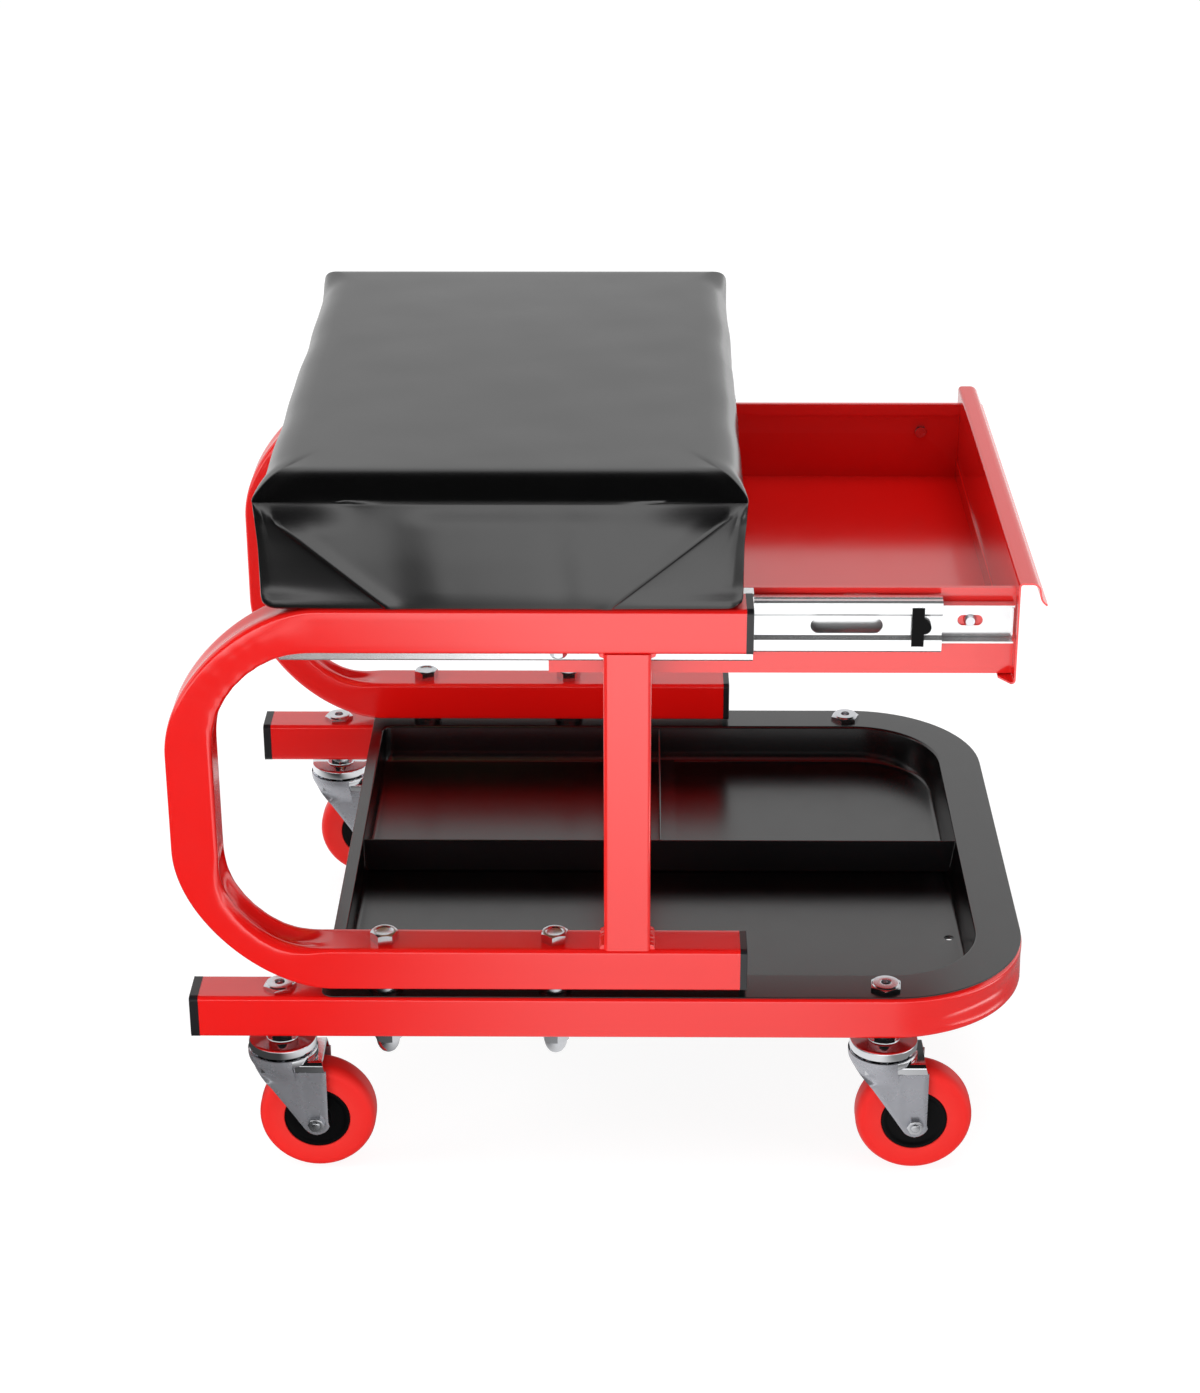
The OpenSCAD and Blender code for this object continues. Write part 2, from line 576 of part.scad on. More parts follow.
// Ball slides, drawn for the left side: d is the distance from the frame's inner face
// and z is counted from the middle of the slide.
half_sheet = slide_sheet / 2;
outer_half = outer_h / 2;
fold = 0.8;                                         // each way across a folded corner
track_half = 1.2;                                   // half of a flat ball track's width
outer_row_d = 4.4;                                  // the outer balls' place across the slide
inner_row_d = 8.2;
outer_row_z = outer_half - slide_sheet - ball_gap - slide_ball_d / 2;
groove_z = outer_row_z - slide_ball_d / 2 - ball_gap;   // top of the middle member's ball groove
groove_depth = 0.55;
middle_half = groove_z + groove_depth;
inner_row_z = middle_half - slide_sheet - ball_gap - slide_ball_d / 2;
inner_half = inner_row_z - slide_ball_d / 2 - ball_gap;
web_d = 4.6;                                        // middle member's sunken web
web_half = 5.6;                                     // and half of its height
web_slope = 2;                                      // height of the slopes beside it
outer_lip_gap = 2.3;                                // between the outer member's lip and the drawer
// Half of each section's path, as places across the slide and heights from its middle
outer_path = [[half_sheet, 0], [half_sheet, outer_half - half_sheet - fold],
    [half_sheet + fold, outer_half - half_sheet],
    [slide_gap - outer_lip_gap - fold, outer_half - half_sheet],
    [slide_gap - outer_lip_gap, outer_half - half_sheet - fold]];
middle_path = [[web_d, 0], [web_d, web_half],
    [outer_row_d - track_half - fold, web_half + web_slope],
    [outer_row_d - track_half - fold, groove_z - half_sheet - fold],
    [outer_row_d - track_half, groove_z - half_sheet],
    [outer_row_d + track_half, groove_z - half_sheet],
    [outer_row_d + track_half + fold, middle_half - half_sheet],
    [inner_row_d + track_half, middle_half - half_sheet],
    [inner_row_d + track_half + fold, middle_half - half_sheet - fold]];
inner_path = [[slide_gap - half_sheet, 0], [slide_gap - half_sheet, inner_half - half_sheet - fold],
    [slide_gap - half_sheet - fold, inner_half - half_sheet],
    [inner_row_d - 2 * track_half, inner_half - half_sheet]];
function whole_path(half) = let(last = len(half) - 1) concat(
    [for (i = [last:-1:1]) [half[i][0], -half[i][1]]], [for (i = [1:last]) half[i]]);
// Places the left slide's section on the frame's inner face and runs it along X
module on_left(x0) translate([x0, -inner_y, slide_z]) rotate([90, 0, 90]) children();
module member(half, x0, len) on_left(x0) linear_extrude(len)
    polygon(strip(whole_path(half), slide_sheet));

slide_past_cap = 0.7;                               // outer members' ends past the end caps
slide_x0 = c_x1 + c_cap_t + slide_past_cap - slide_len; // all members, with the drawer closed
slide_screw_d = 4;
slide_head_d = 7;
slide_head_h = 2;
head_top_share = 0.7;
slide_screw_len = 8;
slide_nut_h = 3;
slide_nut_af = 7;
outer_screw_shares = [0.136, 0.896];                // of the slide's length, from its rear end
inner_screw_shares = [0.12, 0.91];
inner_x0 = slide_x0 + drawer_open;
outer_screw_xs = [for (k = outer_screw_shares) slide_x0 + k * slide_len];
inner_screw_xs = [for (k = inner_screw_shares) inner_x0 + k * slide_len];

module left_slide_outer() color(zinc) difference() {
    member(outer_path, slide_x0, slide_len);
    for (x = outer_screw_xs) on_left(x) rotate([0, 90, 0]) translate([0, 0, -over])
        cylinder(h = slide_sheet + 2 * over, d = slide_screw_d + 2 * run_gap);
}
module right_slide_outer() mirrored() left_slide_outer();

// Slot through a member, len long and w high, with its middle at x
module slot(x, len, w, depth) {
    for (k = [-1, 1]) on_left(x + k * (len - w) / 2) rotate([0, 90, 0]) cylinder(h = depth, d = w);
    on_left(x - (len - w) / 2) translate([0, -w / 2, 0]) cube([depth, w, len - w]);
}
slot_len = 38;
slot_w = 8.8;
slot_from_end = 50;
module middle_member(open) color(zinc) difference() {
    member(middle_path, slide_x0 + open, slide_len);
    slot(slide_x0 + open + slide_len - slot_from_end, slot_len, slot_w, slide_gap / 2);
}
module left_slide_middle() middle_member(left_middle_open);
module right_slide_middle() mirrored() middle_member(right_middle_open);

oblong_len = 13.4;                                  // hole behind an inner member's screw
oblong_w = 6;
end_tab = 1.8;                                      // bent edge at an inner member's front end
end_tab_share = 0.72;                               // of the member's height
module inner_member() color(zinc) difference() {
    union() {
        member(inner_path, inner_x0, slide_len);
        on_left(inner_x0 + slide_len - slide_sheet)
            translate([slide_gap - slide_sheet - end_tab, -end_tab_share * inner_half, 0])
                cube([end_tab + half_sheet, 2 * end_tab_share * inner_half, slide_sheet]);
    }
    for (x = inner_screw_xs) slot(x, oblong_len, oblong_w, slide_gap + over);
}
module left_slide_inner() inner_member();
module right_slide_inner() mirrored() inner_member();

// Ball cages: a strip and a row of balls above and below, half way between their two members
cage_len = 110;
cage_balls = 5;
cage_sheet = 0.6;
cage_half_w = 2.3;
cage_rear = 70;                                     // from the slide's rear end, when closed
function cage_x0(open_a, open_b) = slide_x0 + cage_rear + (open_a + open_b) / 2;
module cage(x0, row_d, row_z) color(zinc) for (k = [-1, 1]) {
    pitch = cage_len / cage_balls;
    difference() {
        on_left(x0) translate([row_d - cage_half_w, k * row_z - cage_sheet / 2, 0])
            cube([2 * cage_half_w, cage_sheet, cage_len]);
        for (i = [0:cage_balls - 1]) on_left(x0 + (i + 0.5) * pitch)
            translate([row_d, k * row_z, 0]) rotate([90, 0, 0]) cylinder(h = cage_sheet * 2,
                d = slide_ball_d + 2 * ball_gap, center = true, $fn = 24);
    }
    for (i = [0:cage_balls - 1]) on_left(x0 + (i + 0.5) * pitch)
        translate([row_d, k * row_z, 0]) sphere(d = slide_ball_d, $fn = 24);
}
module outer_cage(open) cage(cage_x0(0, open), outer_row_d, outer_row_z);
module inner_cage(open) cage(cage_x0(open, drawer_open), inner_row_d, inner_row_z);
module left_outer_cage() outer_cage(left_middle_open);
module right_outer_cage() mirrored() outer_cage(right_middle_open);
module left_inner_cage() inner_cage(left_middle_open);
module right_inner_cage() mirrored() inner_cage(right_middle_open);

// Plastic clip across the middle member's web, near its front end
clip_h = 21.5;
clip_w = 6.5;
clip_t = 0.8;
clip_lug_d = 7.6;                                   // round lug at the clip's front edge
clip_from_end = 16;
clip_face_d = 1.1;
module slide_clip(open) color(black)
    on_left(slide_x0 + open + slide_len - clip_from_end) {
        translate([clip_face_d, -clip_h / 2, 0]) cube([clip_t, clip_h, clip_w]);
        translate([clip_face_d, 0, clip_w]) rotate([0, 90, 0])
            cylinder(h = web_d - half_sheet - clip_face_d, d = clip_lug_d);
    }
module left_slide_clip() slide_clip(left_middle_open);
module right_slide_clip() mirrored() slide_clip(right_middle_open);

module pan_screw(len) {
    cylinder(h = slide_head_h, d1 = slide_head_d * head_top_share, d2 = slide_head_d);
    cylinder(h = slide_head_h + len, d = slide_screw_d);
}
// Screws that hold the outer members on the side frames
module left_frame_screws() for (x = outer_screw_xs) on_left(x)
    translate([slide_sheet + slide_head_h, 0, 0]) rotate([0, -90, 0])
        pan_screw(slide_sheet + slide_screw_len);
module slide_frame_screws() color(zinc) {
    left_frame_screws();
    mirrored() left_frame_screws();
}
// Screws and nuts that hold the drawer on the inner members
module left_drawer_screws() for (x = inner_screw_xs) on_left(x) {
    translate([slide_gap - slide_sheet - slide_head_h, 0, 0]) rotate([0, 90, 0])
        pan_screw(slide_sheet + drawer_sheet + slide_nut_h);
    translate([slide_gap + drawer_sheet, 0, 0]) rotate([0, 90, 0]) difference() {
        hex(slide_nut_af, slide_nut_h);
        translate([0, 0, -over]) cylinder(h = slide_nut_h + 2 * over,
            d = slide_screw_d + 2 * run_gap);
    }
}
module slide_drawer_screws() color(zinc) {
    left_drawer_screws();
    mirrored() left_drawer_screws();
}

// Drawer box: floor, two hemmed sides, a lower back and a flange that takes the front panel
drawer_y = inner_y - slide_gap;
drawer_past_slide = 1;
drawer_x1 = inner_x0 + slide_len + drawer_past_slide;
drawer_len = slide_len - drawer_short;
drawer_x0 = drawer_x1 - drawer_len;
drawer_z0 = slide_z - drawer_drop;
drawer_z1 = drawer_z0 + drawer_side_h;
hem_h = 7;
hem_fold = 3;                                       // thickness of the folded hem
back_h = 42;
front_flange_h = 12;
module drawer_box() color(red) difference() {
    union() {
        translate([drawer_x0, -drawer_y, drawer_z0])
            cube([drawer_len, 2 * drawer_y, drawer_sheet]);
        for (k = [-1, 1]) scale([1, k, 1]) {
            translate([drawer_x0, drawer_y - drawer_sheet, drawer_z0])
                cube([drawer_len, drawer_sheet, drawer_side_h]);
            translate([drawer_x0, drawer_y - hem_fold, drawer_z1 - hem_h])
                cube([drawer_len, hem_fold, hem_h]);
        }
        translate([drawer_x0, -drawer_y, drawer_z0]) cube([drawer_sheet, 2 * drawer_y, back_h]);
        translate([drawer_x1 - drawer_sheet, -drawer_y, drawer_z0])
            cube([drawer_sheet, 2 * drawer_y, front_flange_h]);
    }
    for (k = [-1, 1], x = inner_screw_xs) translate([x, k * (drawer_y + over), slide_z])
        rotate([k * 90, 0, 0]) cylinder(h = drawer_sheet + 2 * over,
            d = slide_screw_d + 2 * run_gap);
}

// Drawer front: one folded sheet with a pull lip along its top and a return along its bottom
front_side = 11;                                    // how far the panel stands out past the box
front_return = 11;
lip_reach = 14.7;
lip_drop = 12.4;
// Points of the lip's path, as shares of its reach and of its drop
lip_shares = [[0, 0.16], [0.07, 0.04], [0.58, 0.04], [0.69, 0.21], [0.74, 0.565], [0.81, 0.76], [1, 1]];
front_drop = 1.5;                                   // panel's foot below the box
front_z0 = drawer_z0 - front_drop;
front_z1 = front_z0 + front_h;
front_mid_x = drawer_x1 + drawer_sheet / 2;
module drawer_front() color(red) rotate([90, 0, 0])
    linear_extrude(2 * (drawer_y + front_side), center = true) polygon(strip(concat(
        [[front_mid_x - front_return, front_z0 + drawer_sheet / 2],
            [front_mid_x, front_z0 + drawer_sheet / 2]],
        [for (k = lip_shares) [front_mid_x + k[0] * lip_reach, front_z1 - k[1] * lip_drop]]),
        drawer_sheet));

// Caster parts, drawn round the swivel axis at the origin, with the wheel trailing along +X
module caster_stem(nut_z) color(zinc) rotate_extrude() polygon([
    [0, fork_z0 - ball_gap - rivet_h], [rivet_d / 2, fork_z0 - ball_gap - rivet_h],
    [rivet_d / 2, fork_z0 - ball_gap], [bolt_d / 2, fork_z0 - ball_gap],
    [bolt_d / 2, cap_z1 - cap_sheet], [head_d / 2 - 1.6 * cap_sheet, cap_z1 - cap_sheet],
    [head_d / 2 - cap_sheet, cap_z1 - 1.6 * cap_sheet],
    [head_d / 2 - cap_sheet, cap_z1 - cap_skirt_h], [head_d / 2, cap_z1 - cap_skirt_h],
    [head_d / 2, cap_z1 - 1.2 * cap_sheet], [head_d / 2 - cap_sheet, cap_z1],
    [collar_d / 2, cap_z1], [collar_d / 2, base_z0], [bolt_d / 2, base_z0],
    [bolt_d / 2, nut_z + stem_nut_h + stem_past_nut], [0, nut_z + stem_nut_h + stem_past_nut]]);
module caster_balls() color(zinc) for (i = [0:ball_count - 1]) rotate([0, 0, 360 * i / ball_count])
    translate([ball_ring_d / 2, 0, race_z1 + ball_gap + head_ball_d / 2])
        sphere(d = head_ball_d, $fn = 24);
// Point where a line from p touches the lower left of a circle
function tangent_point(p, c, r) = let(v = c - p, d = norm(v), a = atan2(v[1], v[0]) - asin(r / d),
    l = sqrt(d * d - r * r)) p + l * [cos(a), sin(a)];
fork_mid_w = (fork_w - fork_sheet) / 2;
axle_c = [trail, wheel_r];
fork_lead_foot = [-fork_lead, fork_z1 - fork_lip_h];
module fork_outline() {
    polygon([[-fork_lead, fork_z1], fork_lead_foot, tangent_point(fork_lead_foot, axle_c, fork_end_r),
        axle_c, [trail + fork_end_r, wheel_r], [trail + fork_end_r, fork_z1]]);
    translate(axle_c) circle(fork_end_r);
}
module fork_section() polygon(strip(concat([[-fork_mid_w, 0]],
    arc([-fork_mid_w + fork_bend_r, fork_z1 - fork_sheet / 2 - fork_bend_r], fork_bend_r, 180, 90, 4),
    arc([fork_mid_w - fork_bend_r, fork_z1 - fork_sheet / 2 - fork_bend_r], fork_bend_r, 90, 0, 4),
    [[fork_mid_w, 0]]), fork_sheet));
module caster_fork() color(zinc) difference() {
    union() {
        intersection() {
            rotate([90, 0, 0]) linear_extrude(2 * fork_w, center = true) fork_outline();
            translate([-fork_lead - over, 0, 0]) rotate([90, 0, 90])
                linear_extrude(fork_lead + trail + fork_end_r + 2 * over) fork_section();
        }
        translate([0, 0, fork_z0]) cylinder(h = fork_sheet, d = shoulder_d);
        translate([0, 0, fork_z1]) cylinder(h = race_h, d = race_d);
    }
    translate([0, 0, fork_z0 - over]) cylinder(h = fork_sheet + race_h + 2 * over,
        d = bolt_d + 2 * run_gap);
    translate([trail, 0, wheel_r]) rotate([90, 0, 0]) cylinder(h = 2 * fork_w,
        d = axle_end_d + 2 * run_gap, center = true);
}
module caster_axle() color(zinc) translate([trail, 0, wheel_r]) rotate([90, 0, 0]) {
    cylinder(h = fork_w - 2 * fork_sheet - 2 * ball_gap, d = axle_d, center = true);
    cylinder(h = fork_w + 2 * axle_nut_h + 2 * axle_past_nut, d = axle_end_d, center = true);
    for (k = [0, 1]) mirror([0, 0, k]) translate([0, 0, fork_w / 2]) difference() {
        hex(axle_nut_af, axle_nut_h);
        translate([0, 0, -over]) cylinder(h = axle_nut_h + 2 * over, d = axle_end_d + 2 * run_gap);
    }
}
module caster_hub() color(black) translate([trail, 0, wheel_r]) rotate([90, 0, 0])
    rotate_extrude() {
        r = hub_d / 2;
        w = wheel_w / 2 - hub_side_in;
        bore = axle_d / 2 + run_gap;
        boss = hub_boss_d / 2;
        half = [[boss, hub_w / 2], [boss + hub_slope, w - hub_dish],
            [r - hub_rim - hub_slope, w - hub_dish], [r - hub_rim, w]];
        polygon(concat([[bore, -hub_w / 2]], [for (p = half) [p[0], -p[1]]], [[r, -w], [r, w]],
            [for (i = [len(half) - 1:-1:0]) half[i]], [[bore, hub_w / 2]]));
    }
module caster_tyre() color(red) translate([trail, 0, wheel_r]) rotate([90, 0, 0])
    rotate_extrude() {
        w = wheel_w / 2;
        polygon(concat([[hub_d / 2, -w + tyre_bevel], [hub_d / 2 + tyre_bevel, -w]],
            arc([wheel_r - tyre_edge_r, -w + tyre_edge_r], tyre_edge_r, -90, 0, 6),
            arc([wheel_r - tyre_edge_r, w - tyre_edge_r], tyre_edge_r, 0, 90, 6),
            [[hub_d / 2 + tyre_bevel, w], [hub_d / 2, w - tyre_bevel]]));
    }
module front_left() translate([front_caster_x, -leg_y, 0]) children();
module front_right() translate([front_caster_x, leg_y, 0]) children();
module rear_left() translate([rear_caster_x, -leg_y, 0]) children();
module rear_right() translate([rear_caster_x, leg_y, 0]) children();

module stem_nut() difference() {
    hex(bolt_af, stem_nut_h);
    translate([0, 0, -over]) cylinder(h = stem_nut_h + 2 * over, d = bolt_d + 2 * run_gap);
}
module stem_nuts() color(zinc) copy_sides() {
    translate([rear_caster_x, 0, base_z1]) stem_nut();
    translate([front_caster_x, 0, rim_z1]) stem_nut();
}

base_frame();
base_end_caps();
tray();
tray_long_divider();
tray_short_divider();
left_side_frame();
right_side_frame();
left_post();
right_post();
side_frame_caps();
frame_bolts();
frame_spacers();
frame_dome_nuts();
seat_board();
seat_foam();
seat_cover();
seat_bolts();
seat_tee_nuts();
left_slide_outer();
right_slide_outer();
left_slide_middle();
right_slide_middle();
left_slide_inner();
right_slide_inner();
left_outer_cage();
right_outer_cage();
left_inner_cage();
right_inner_cage();
left_slide_clip();
right_slide_clip();
slide_frame_screws();
slide_drawer_screws();
drawer_box();
drawer_front();
stem_nuts();
front_left() caster_stem(rim_z1);  // front_left_stem
front_left() caster_balls();  // front_left_balls
front_left() caster_fork();  // front_left_fork
front_left() caster_axle();  // front_left_axle
front_left() caster_hub();  // front_left_hub
front_left() caster_tyre();  // front_left_tyre
front_right() caster_stem(rim_z1);  // front_right_stem
front_right() caster_balls();  // front_right_balls
front_right() caster_fork();  // front_right_fork
front_right() caster_axle();  // front_right_axle
front_right() caster_hub();  // front_right_hub
front_right() caster_tyre();  // front_right_tyre
rear_left() caster_stem(base_z1);  // rear_left_stem
rear_left() caster_balls();  // rear_left_balls
rear_left() caster_fork();  // rear_left_fork
rear_left() caster_axle();  // rear_left_axle
rear_left() caster_hub();  // rear_left_hub
rear_left() caster_tyre();  // rear_left_tyre
rear_right() caster_stem(base_z1);  // rear_right_stem
rear_right() caster_balls();  // rear_right_balls
rear_right() caster_fork();  // rear_right_fork
rear_right() caster_axle();  // rear_right_axle
rear_right() caster_hub();  // rear_right_hub
rear_right() caster_tyre();  // rear_right_tyre
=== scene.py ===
"""Looks of a rolling creeper seat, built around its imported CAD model."""
import json
import math
import bmesh
import bpy
from mathutils import Matrix, Vector


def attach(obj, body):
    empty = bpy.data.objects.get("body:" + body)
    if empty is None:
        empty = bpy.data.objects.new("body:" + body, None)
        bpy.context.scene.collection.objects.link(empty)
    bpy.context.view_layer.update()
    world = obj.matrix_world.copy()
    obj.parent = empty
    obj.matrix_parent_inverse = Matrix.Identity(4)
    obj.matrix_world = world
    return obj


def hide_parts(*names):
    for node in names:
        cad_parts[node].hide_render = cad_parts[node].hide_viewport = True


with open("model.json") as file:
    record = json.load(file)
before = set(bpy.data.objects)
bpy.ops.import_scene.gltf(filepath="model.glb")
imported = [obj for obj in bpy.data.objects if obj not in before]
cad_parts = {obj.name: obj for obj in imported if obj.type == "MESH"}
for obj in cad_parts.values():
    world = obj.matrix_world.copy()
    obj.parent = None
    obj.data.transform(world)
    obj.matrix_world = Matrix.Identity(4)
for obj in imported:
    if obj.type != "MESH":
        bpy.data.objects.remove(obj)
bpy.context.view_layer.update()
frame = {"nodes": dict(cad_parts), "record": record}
nodes = frame["nodes"]
MM = 0.001
pi, sin, cos, sqrt, rad = math.pi, math.sin, math.cos, math.sqrt, math.radians

# Materials


def material(name, colour, rough, metal=0.0, tint=0.03, tint_scale=14.0, rough_var=0.03,
             bumps=(), ior=1.5, worn=None, voronoi=None, spec=0.5):
    """Principled shader whose colour and roughness drift slowly, with layers of fine bump.

    bumps holds (scale, height) layers of noise, voronoi is one such layer of cells, and worn is
    the colour of rubbed edges."""
    m = bpy.data.materials.new(name)
    m.use_nodes = True
    nt = m.node_tree
    sh = nt.nodes["Principled BSDF"]
    sh.inputs["Metallic"].default_value = metal
    sh.inputs["IOR"].default_value = ior
    sh.inputs["Specular IOR Level"].default_value = spec

    def node(kind, **values):
        n = nt.nodes.new(kind)
        for k, v in values.items():
            n.inputs[k].default_value = v
        return n

    link = nt.links.new
    place = node("ShaderNodeTexCoord").outputs["Object"]
    drift = node("ShaderNodeTexNoise", Scale=tint_scale, Detail=3.0)
    link(place, drift.inputs["Vector"])
    ramp = node("ShaderNodeValToRGB")
    ramp.color_ramp.elements[0].position = 0.3
    ramp.color_ramp.elements[1].position = 0.7
    ramp.color_ramp.elements[0].color = [c * (1 - tint) for c in colour] + [1]
    ramp.color_ramp.elements[1].color = [min(1, c * (1 + tint)) for c in colour] + [1]
    link(drift.outputs["Fac"], ramp.inputs["Fac"])
    base = ramp.outputs["Color"]
    if worn:
        edge = node("ShaderNodeNewGeometry").outputs["Pointiness"]
        pick = nt.nodes.new("ShaderNodeMapRange")
        for k, v in (("From Min", 0.52), ("From Max", 0.6), ("To Min", 0.0), ("To Max", 0.35)):
            pick.inputs[k].default_value = v
        link(edge, pick.inputs["Value"])
        mix = nt.nodes.new("ShaderNodeMix")
        mix.data_type = "RGBA"
        link(pick.outputs["Result"], mix.inputs["Factor"])
        link(base, mix.inputs[6])
        mix.inputs[7].default_value = list(worn) + [1]
        base = mix.outputs[2]
    link(base, sh.inputs["Base Color"])
    fine = node("ShaderNodeTexNoise", Scale=tint_scale * 5, Detail=4.0)
    link(place, fine.inputs["Vector"])
    spread = nt.nodes.new("ShaderNodeMapRange")
    spread.inputs["To Min"].default_value = max(0.02, rough - rough_var)
    spread.inputs["To Max"].default_value = rough + rough_var
    link(fine.outputs["Fac"], spread.inputs["Value"])
    link(spread.outputs["Result"], sh.inputs["Roughness"])

    def layer(tex, output, height, last):
        link(place, tex.inputs["Vector"])
        b = node("ShaderNodeBump", Strength=1.0, Distance=height)
        link(tex.outputs[output], b.inputs["Height"])
        if last:
            link(last, b.inputs["Normal"])
        return b.outputs["Normal"]

    last = None
    for scale, height in bumps:
        last = layer(node("ShaderNodeTexNoise", Scale=scale, Detail=3.0), "Fac", height, last)
    if voronoi:
        scale, height = voronoi
        last = layer(node("ShaderNodeTexVoronoi", Scale=scale), "Distance", height, last)
    if last:
        link(last, sh.inputs["Normal"])
    return m


RED = material("red_coat", (0.86, 0.0055, 0.004), 0.15, bumps=((900, 0.000004), (120, 0.00001)),
               ior=1.95, worn=(0.92, 0.05, 0.045), tint=0.015)
BLACK = material("black_coat", (0.0014, 0.0013, 0.0015), 0.24,
                 bumps=((1400, 0.000004), (60, 0.00001)), tint=0.12, ior=1.85,
                 worn=(0.02, 0.02, 0.022))
PLASTIC = material("black_plastic", (0.012, 0.012, 0.014), 0.36, bumps=((2600, 0.00002),), tint=0.1,
                   ior=1.6)
ZINC = material("zinc", (0.74, 0.75, 0.78), 0.2, metal=1.0, tint=0.05, tint_scale=60,
                bumps=((700, 0.00001),))
SLIDE = material("slide_zinc", (0.93, 0.94, 0.95), 0.2, metal=0.82, tint=0.05, tint_scale=40,
                 bumps=((500, 0.00001),))
CHROME = material("chrome", (0.47, 0.48, 0.52), 0.27, metal=0.72, tint=0.05, tint_scale=30,
                  bumps=((260, 0.00002),))
MIRROR = material("bright_chrome", (0.88, 0.89, 0.92), 0.09, metal=1.0, tint=0.04, tint_scale=30,
                  bumps=((90, 0.00004),))
MATT = material("matt_plastic", (0.0022, 0.0022, 0.0026), 0.5, bumps=((1800, 0.00002),), tint=0.15,
                ior=1.35, spec=0.25)
VINYL = material("vinyl", (0.0015, 0.0015, 0.0016), 0.25, bumps=((38, 0.00005),), tint=0.1,
                 voronoi=(1500, 0.00001), rough_var=0.02, ior=1.85)
PLY = material("plywood", (0.52, 0.34, 0.17), 0.75, tint=0.2, tint_scale=9, bumps=((300, 0.0001),))
FOAM = material("foam", (0.8, 0.74, 0.45), 0.95, tint=0.08, bumps=((2200, 0.0003),))
TYRE = material("red_tyre", (0.87, 0.016, 0.012), 0.46, bumps=((700, 0.00003),), tint=0.04,
                ior=1.42, worn=(0.95, 0.12, 0.1))
LOOKS = {"red_paint": RED, "black_paint": BLACK, "black_plastic": PLASTIC, "zinc_plate": ZINC,
         "chrome_plate": CHROME, "vinyl": VINYL, "plywood": PLY, "foam": FOAM, "red_tyre": TYRE}
for entry in frame["record"]["subparts"]:
    o = nodes[entry["node"]]
    o.data.materials.clear()
    if "clip" in entry["node"]:
        look = MATT
    elif "_slide_" in entry["node"]:
        look = SLIDE
    else:
        look = LOOKS[entry["material_slot"]]
    o.data.materials.append(look)

# Camera, floor and light

PITCH, ROLL = rad(24.46), rad(-0.19)
ahead = Vector((-0.01326 * cos(PITCH), 0.99991 * cos(PITCH), -sin(PITCH))).normalized()
right = ahead.cross(Vector((0, 0, 1))).normalized()
up = right.cross(ahead)
turn = Matrix((right, up, -ahead)).transposed() @ Matrix.Rotation(ROLL, 3, "Z")
cam = bpy.data.objects.new("camera", bpy.data.cameras.new("camera"))
cam.matrix_world = Matrix.Translation((0.01429, -1.5836, 0.9279)) @ turn.to_4x4()
cam.data.lens = 76.14
cam.data.sensor_width = 36
cam.data.clip_end = 60
scene = bpy.context.scene
scene.collection.objects.link(cam)
scene.camera = cam
scene.view_settings.view_transform = "Standard"

world = bpy.data.worlds.new("studio")
scene.world = world
world.use_nodes = True
wt = world.node_tree
wt.nodes.clear()


def map_range(tree, value, a, b, c, d):
    """Smooth step of value from a..b to c..d."""
    n = tree.nodes.new("ShaderNodeMapRange")
    n.interpolation_type = "SMOOTHSTEP"
    for k, v in (("From Min", a), ("From Max", b), ("To Min", c), ("To Max", d)):
        n.inputs[k].default_value = v
    tree.links.new(value, n.inputs["Value"])
    return n.outputs["Result"]


def maths(tree, kind, a, b):
    """Math node of two numbers or sockets."""
    n = tree.nodes.new("ShaderNodeMath")
    n.operation = kind
    for k, v in enumerate((a, b)):
        if isinstance(v, (int, float)):
            n.inputs[k].default_value = v
        else:
            tree.links.new(v, n.inputs[k])
    return n.outputs[0]


def studio(light):
    """Even world light; mirrors see a pale backdrop behind and a dark room above and in front."""
    out = wt.nodes.new("ShaderNodeOutputWorld")
    back = wt.nodes.new("ShaderNodeBackground")
    ray = wt.nodes.new("ShaderNodeLightPath")
    way = wt.nodes.new("ShaderNodeSeparateXYZ")
    wt.links.new(wt.nodes.new("ShaderNodeTexCoord").outputs["Generated"], way.inputs[0])
    reach = map_range(wt, way.outputs["Y"], -0.3, 0.2, 0.03, 0.6)
    over = maths(wt, "SUBTRACT", way.outputs["Z"], reach)
    seen = map_range(wt, over, 0.0, 0.16, 1.0, 0.01)
    glossy = maths(wt, "MULTIPLY", ray.outputs["Is Glossy Ray"], seen)
    plain = maths(wt, "SUBTRACT", 1.0, maths(wt, "MAXIMUM", ray.outputs["Is Glossy Ray"],
                                             ray.outputs["Is Camera Ray"]))
    backdrop = maths(wt, "MULTIPLY", ray.outputs["Is Camera Ray"], 1.25)
    total = maths(wt, "ADD", maths(wt, "ADD", glossy, backdrop),
                  maths(wt, "MULTIPLY", plain, light))
    wt.links.new(total, back.inputs["Strength"])
    wt.links.new(back.outputs[0], out.inputs["Surface"])


studio(0.5)


def lamp(name, place, target, size, power, height=None):
    """Area lamp at place that looks at target and is left out of mirrors."""
    data = bpy.data.lights.new(name, "AREA")
    data.energy = power
    data.shape = "RECTANGLE"
    data.size = size
    data.size_y = height or size
    o = bpy.data.objects.new(name, data)
    o.location = place
    o.rotation_euler = (Vector(target) - Vector(place)).to_track_quat("-Z", "Y").to_euler()
    o.visible_glossy = False
    scene.collection.objects.link(o)


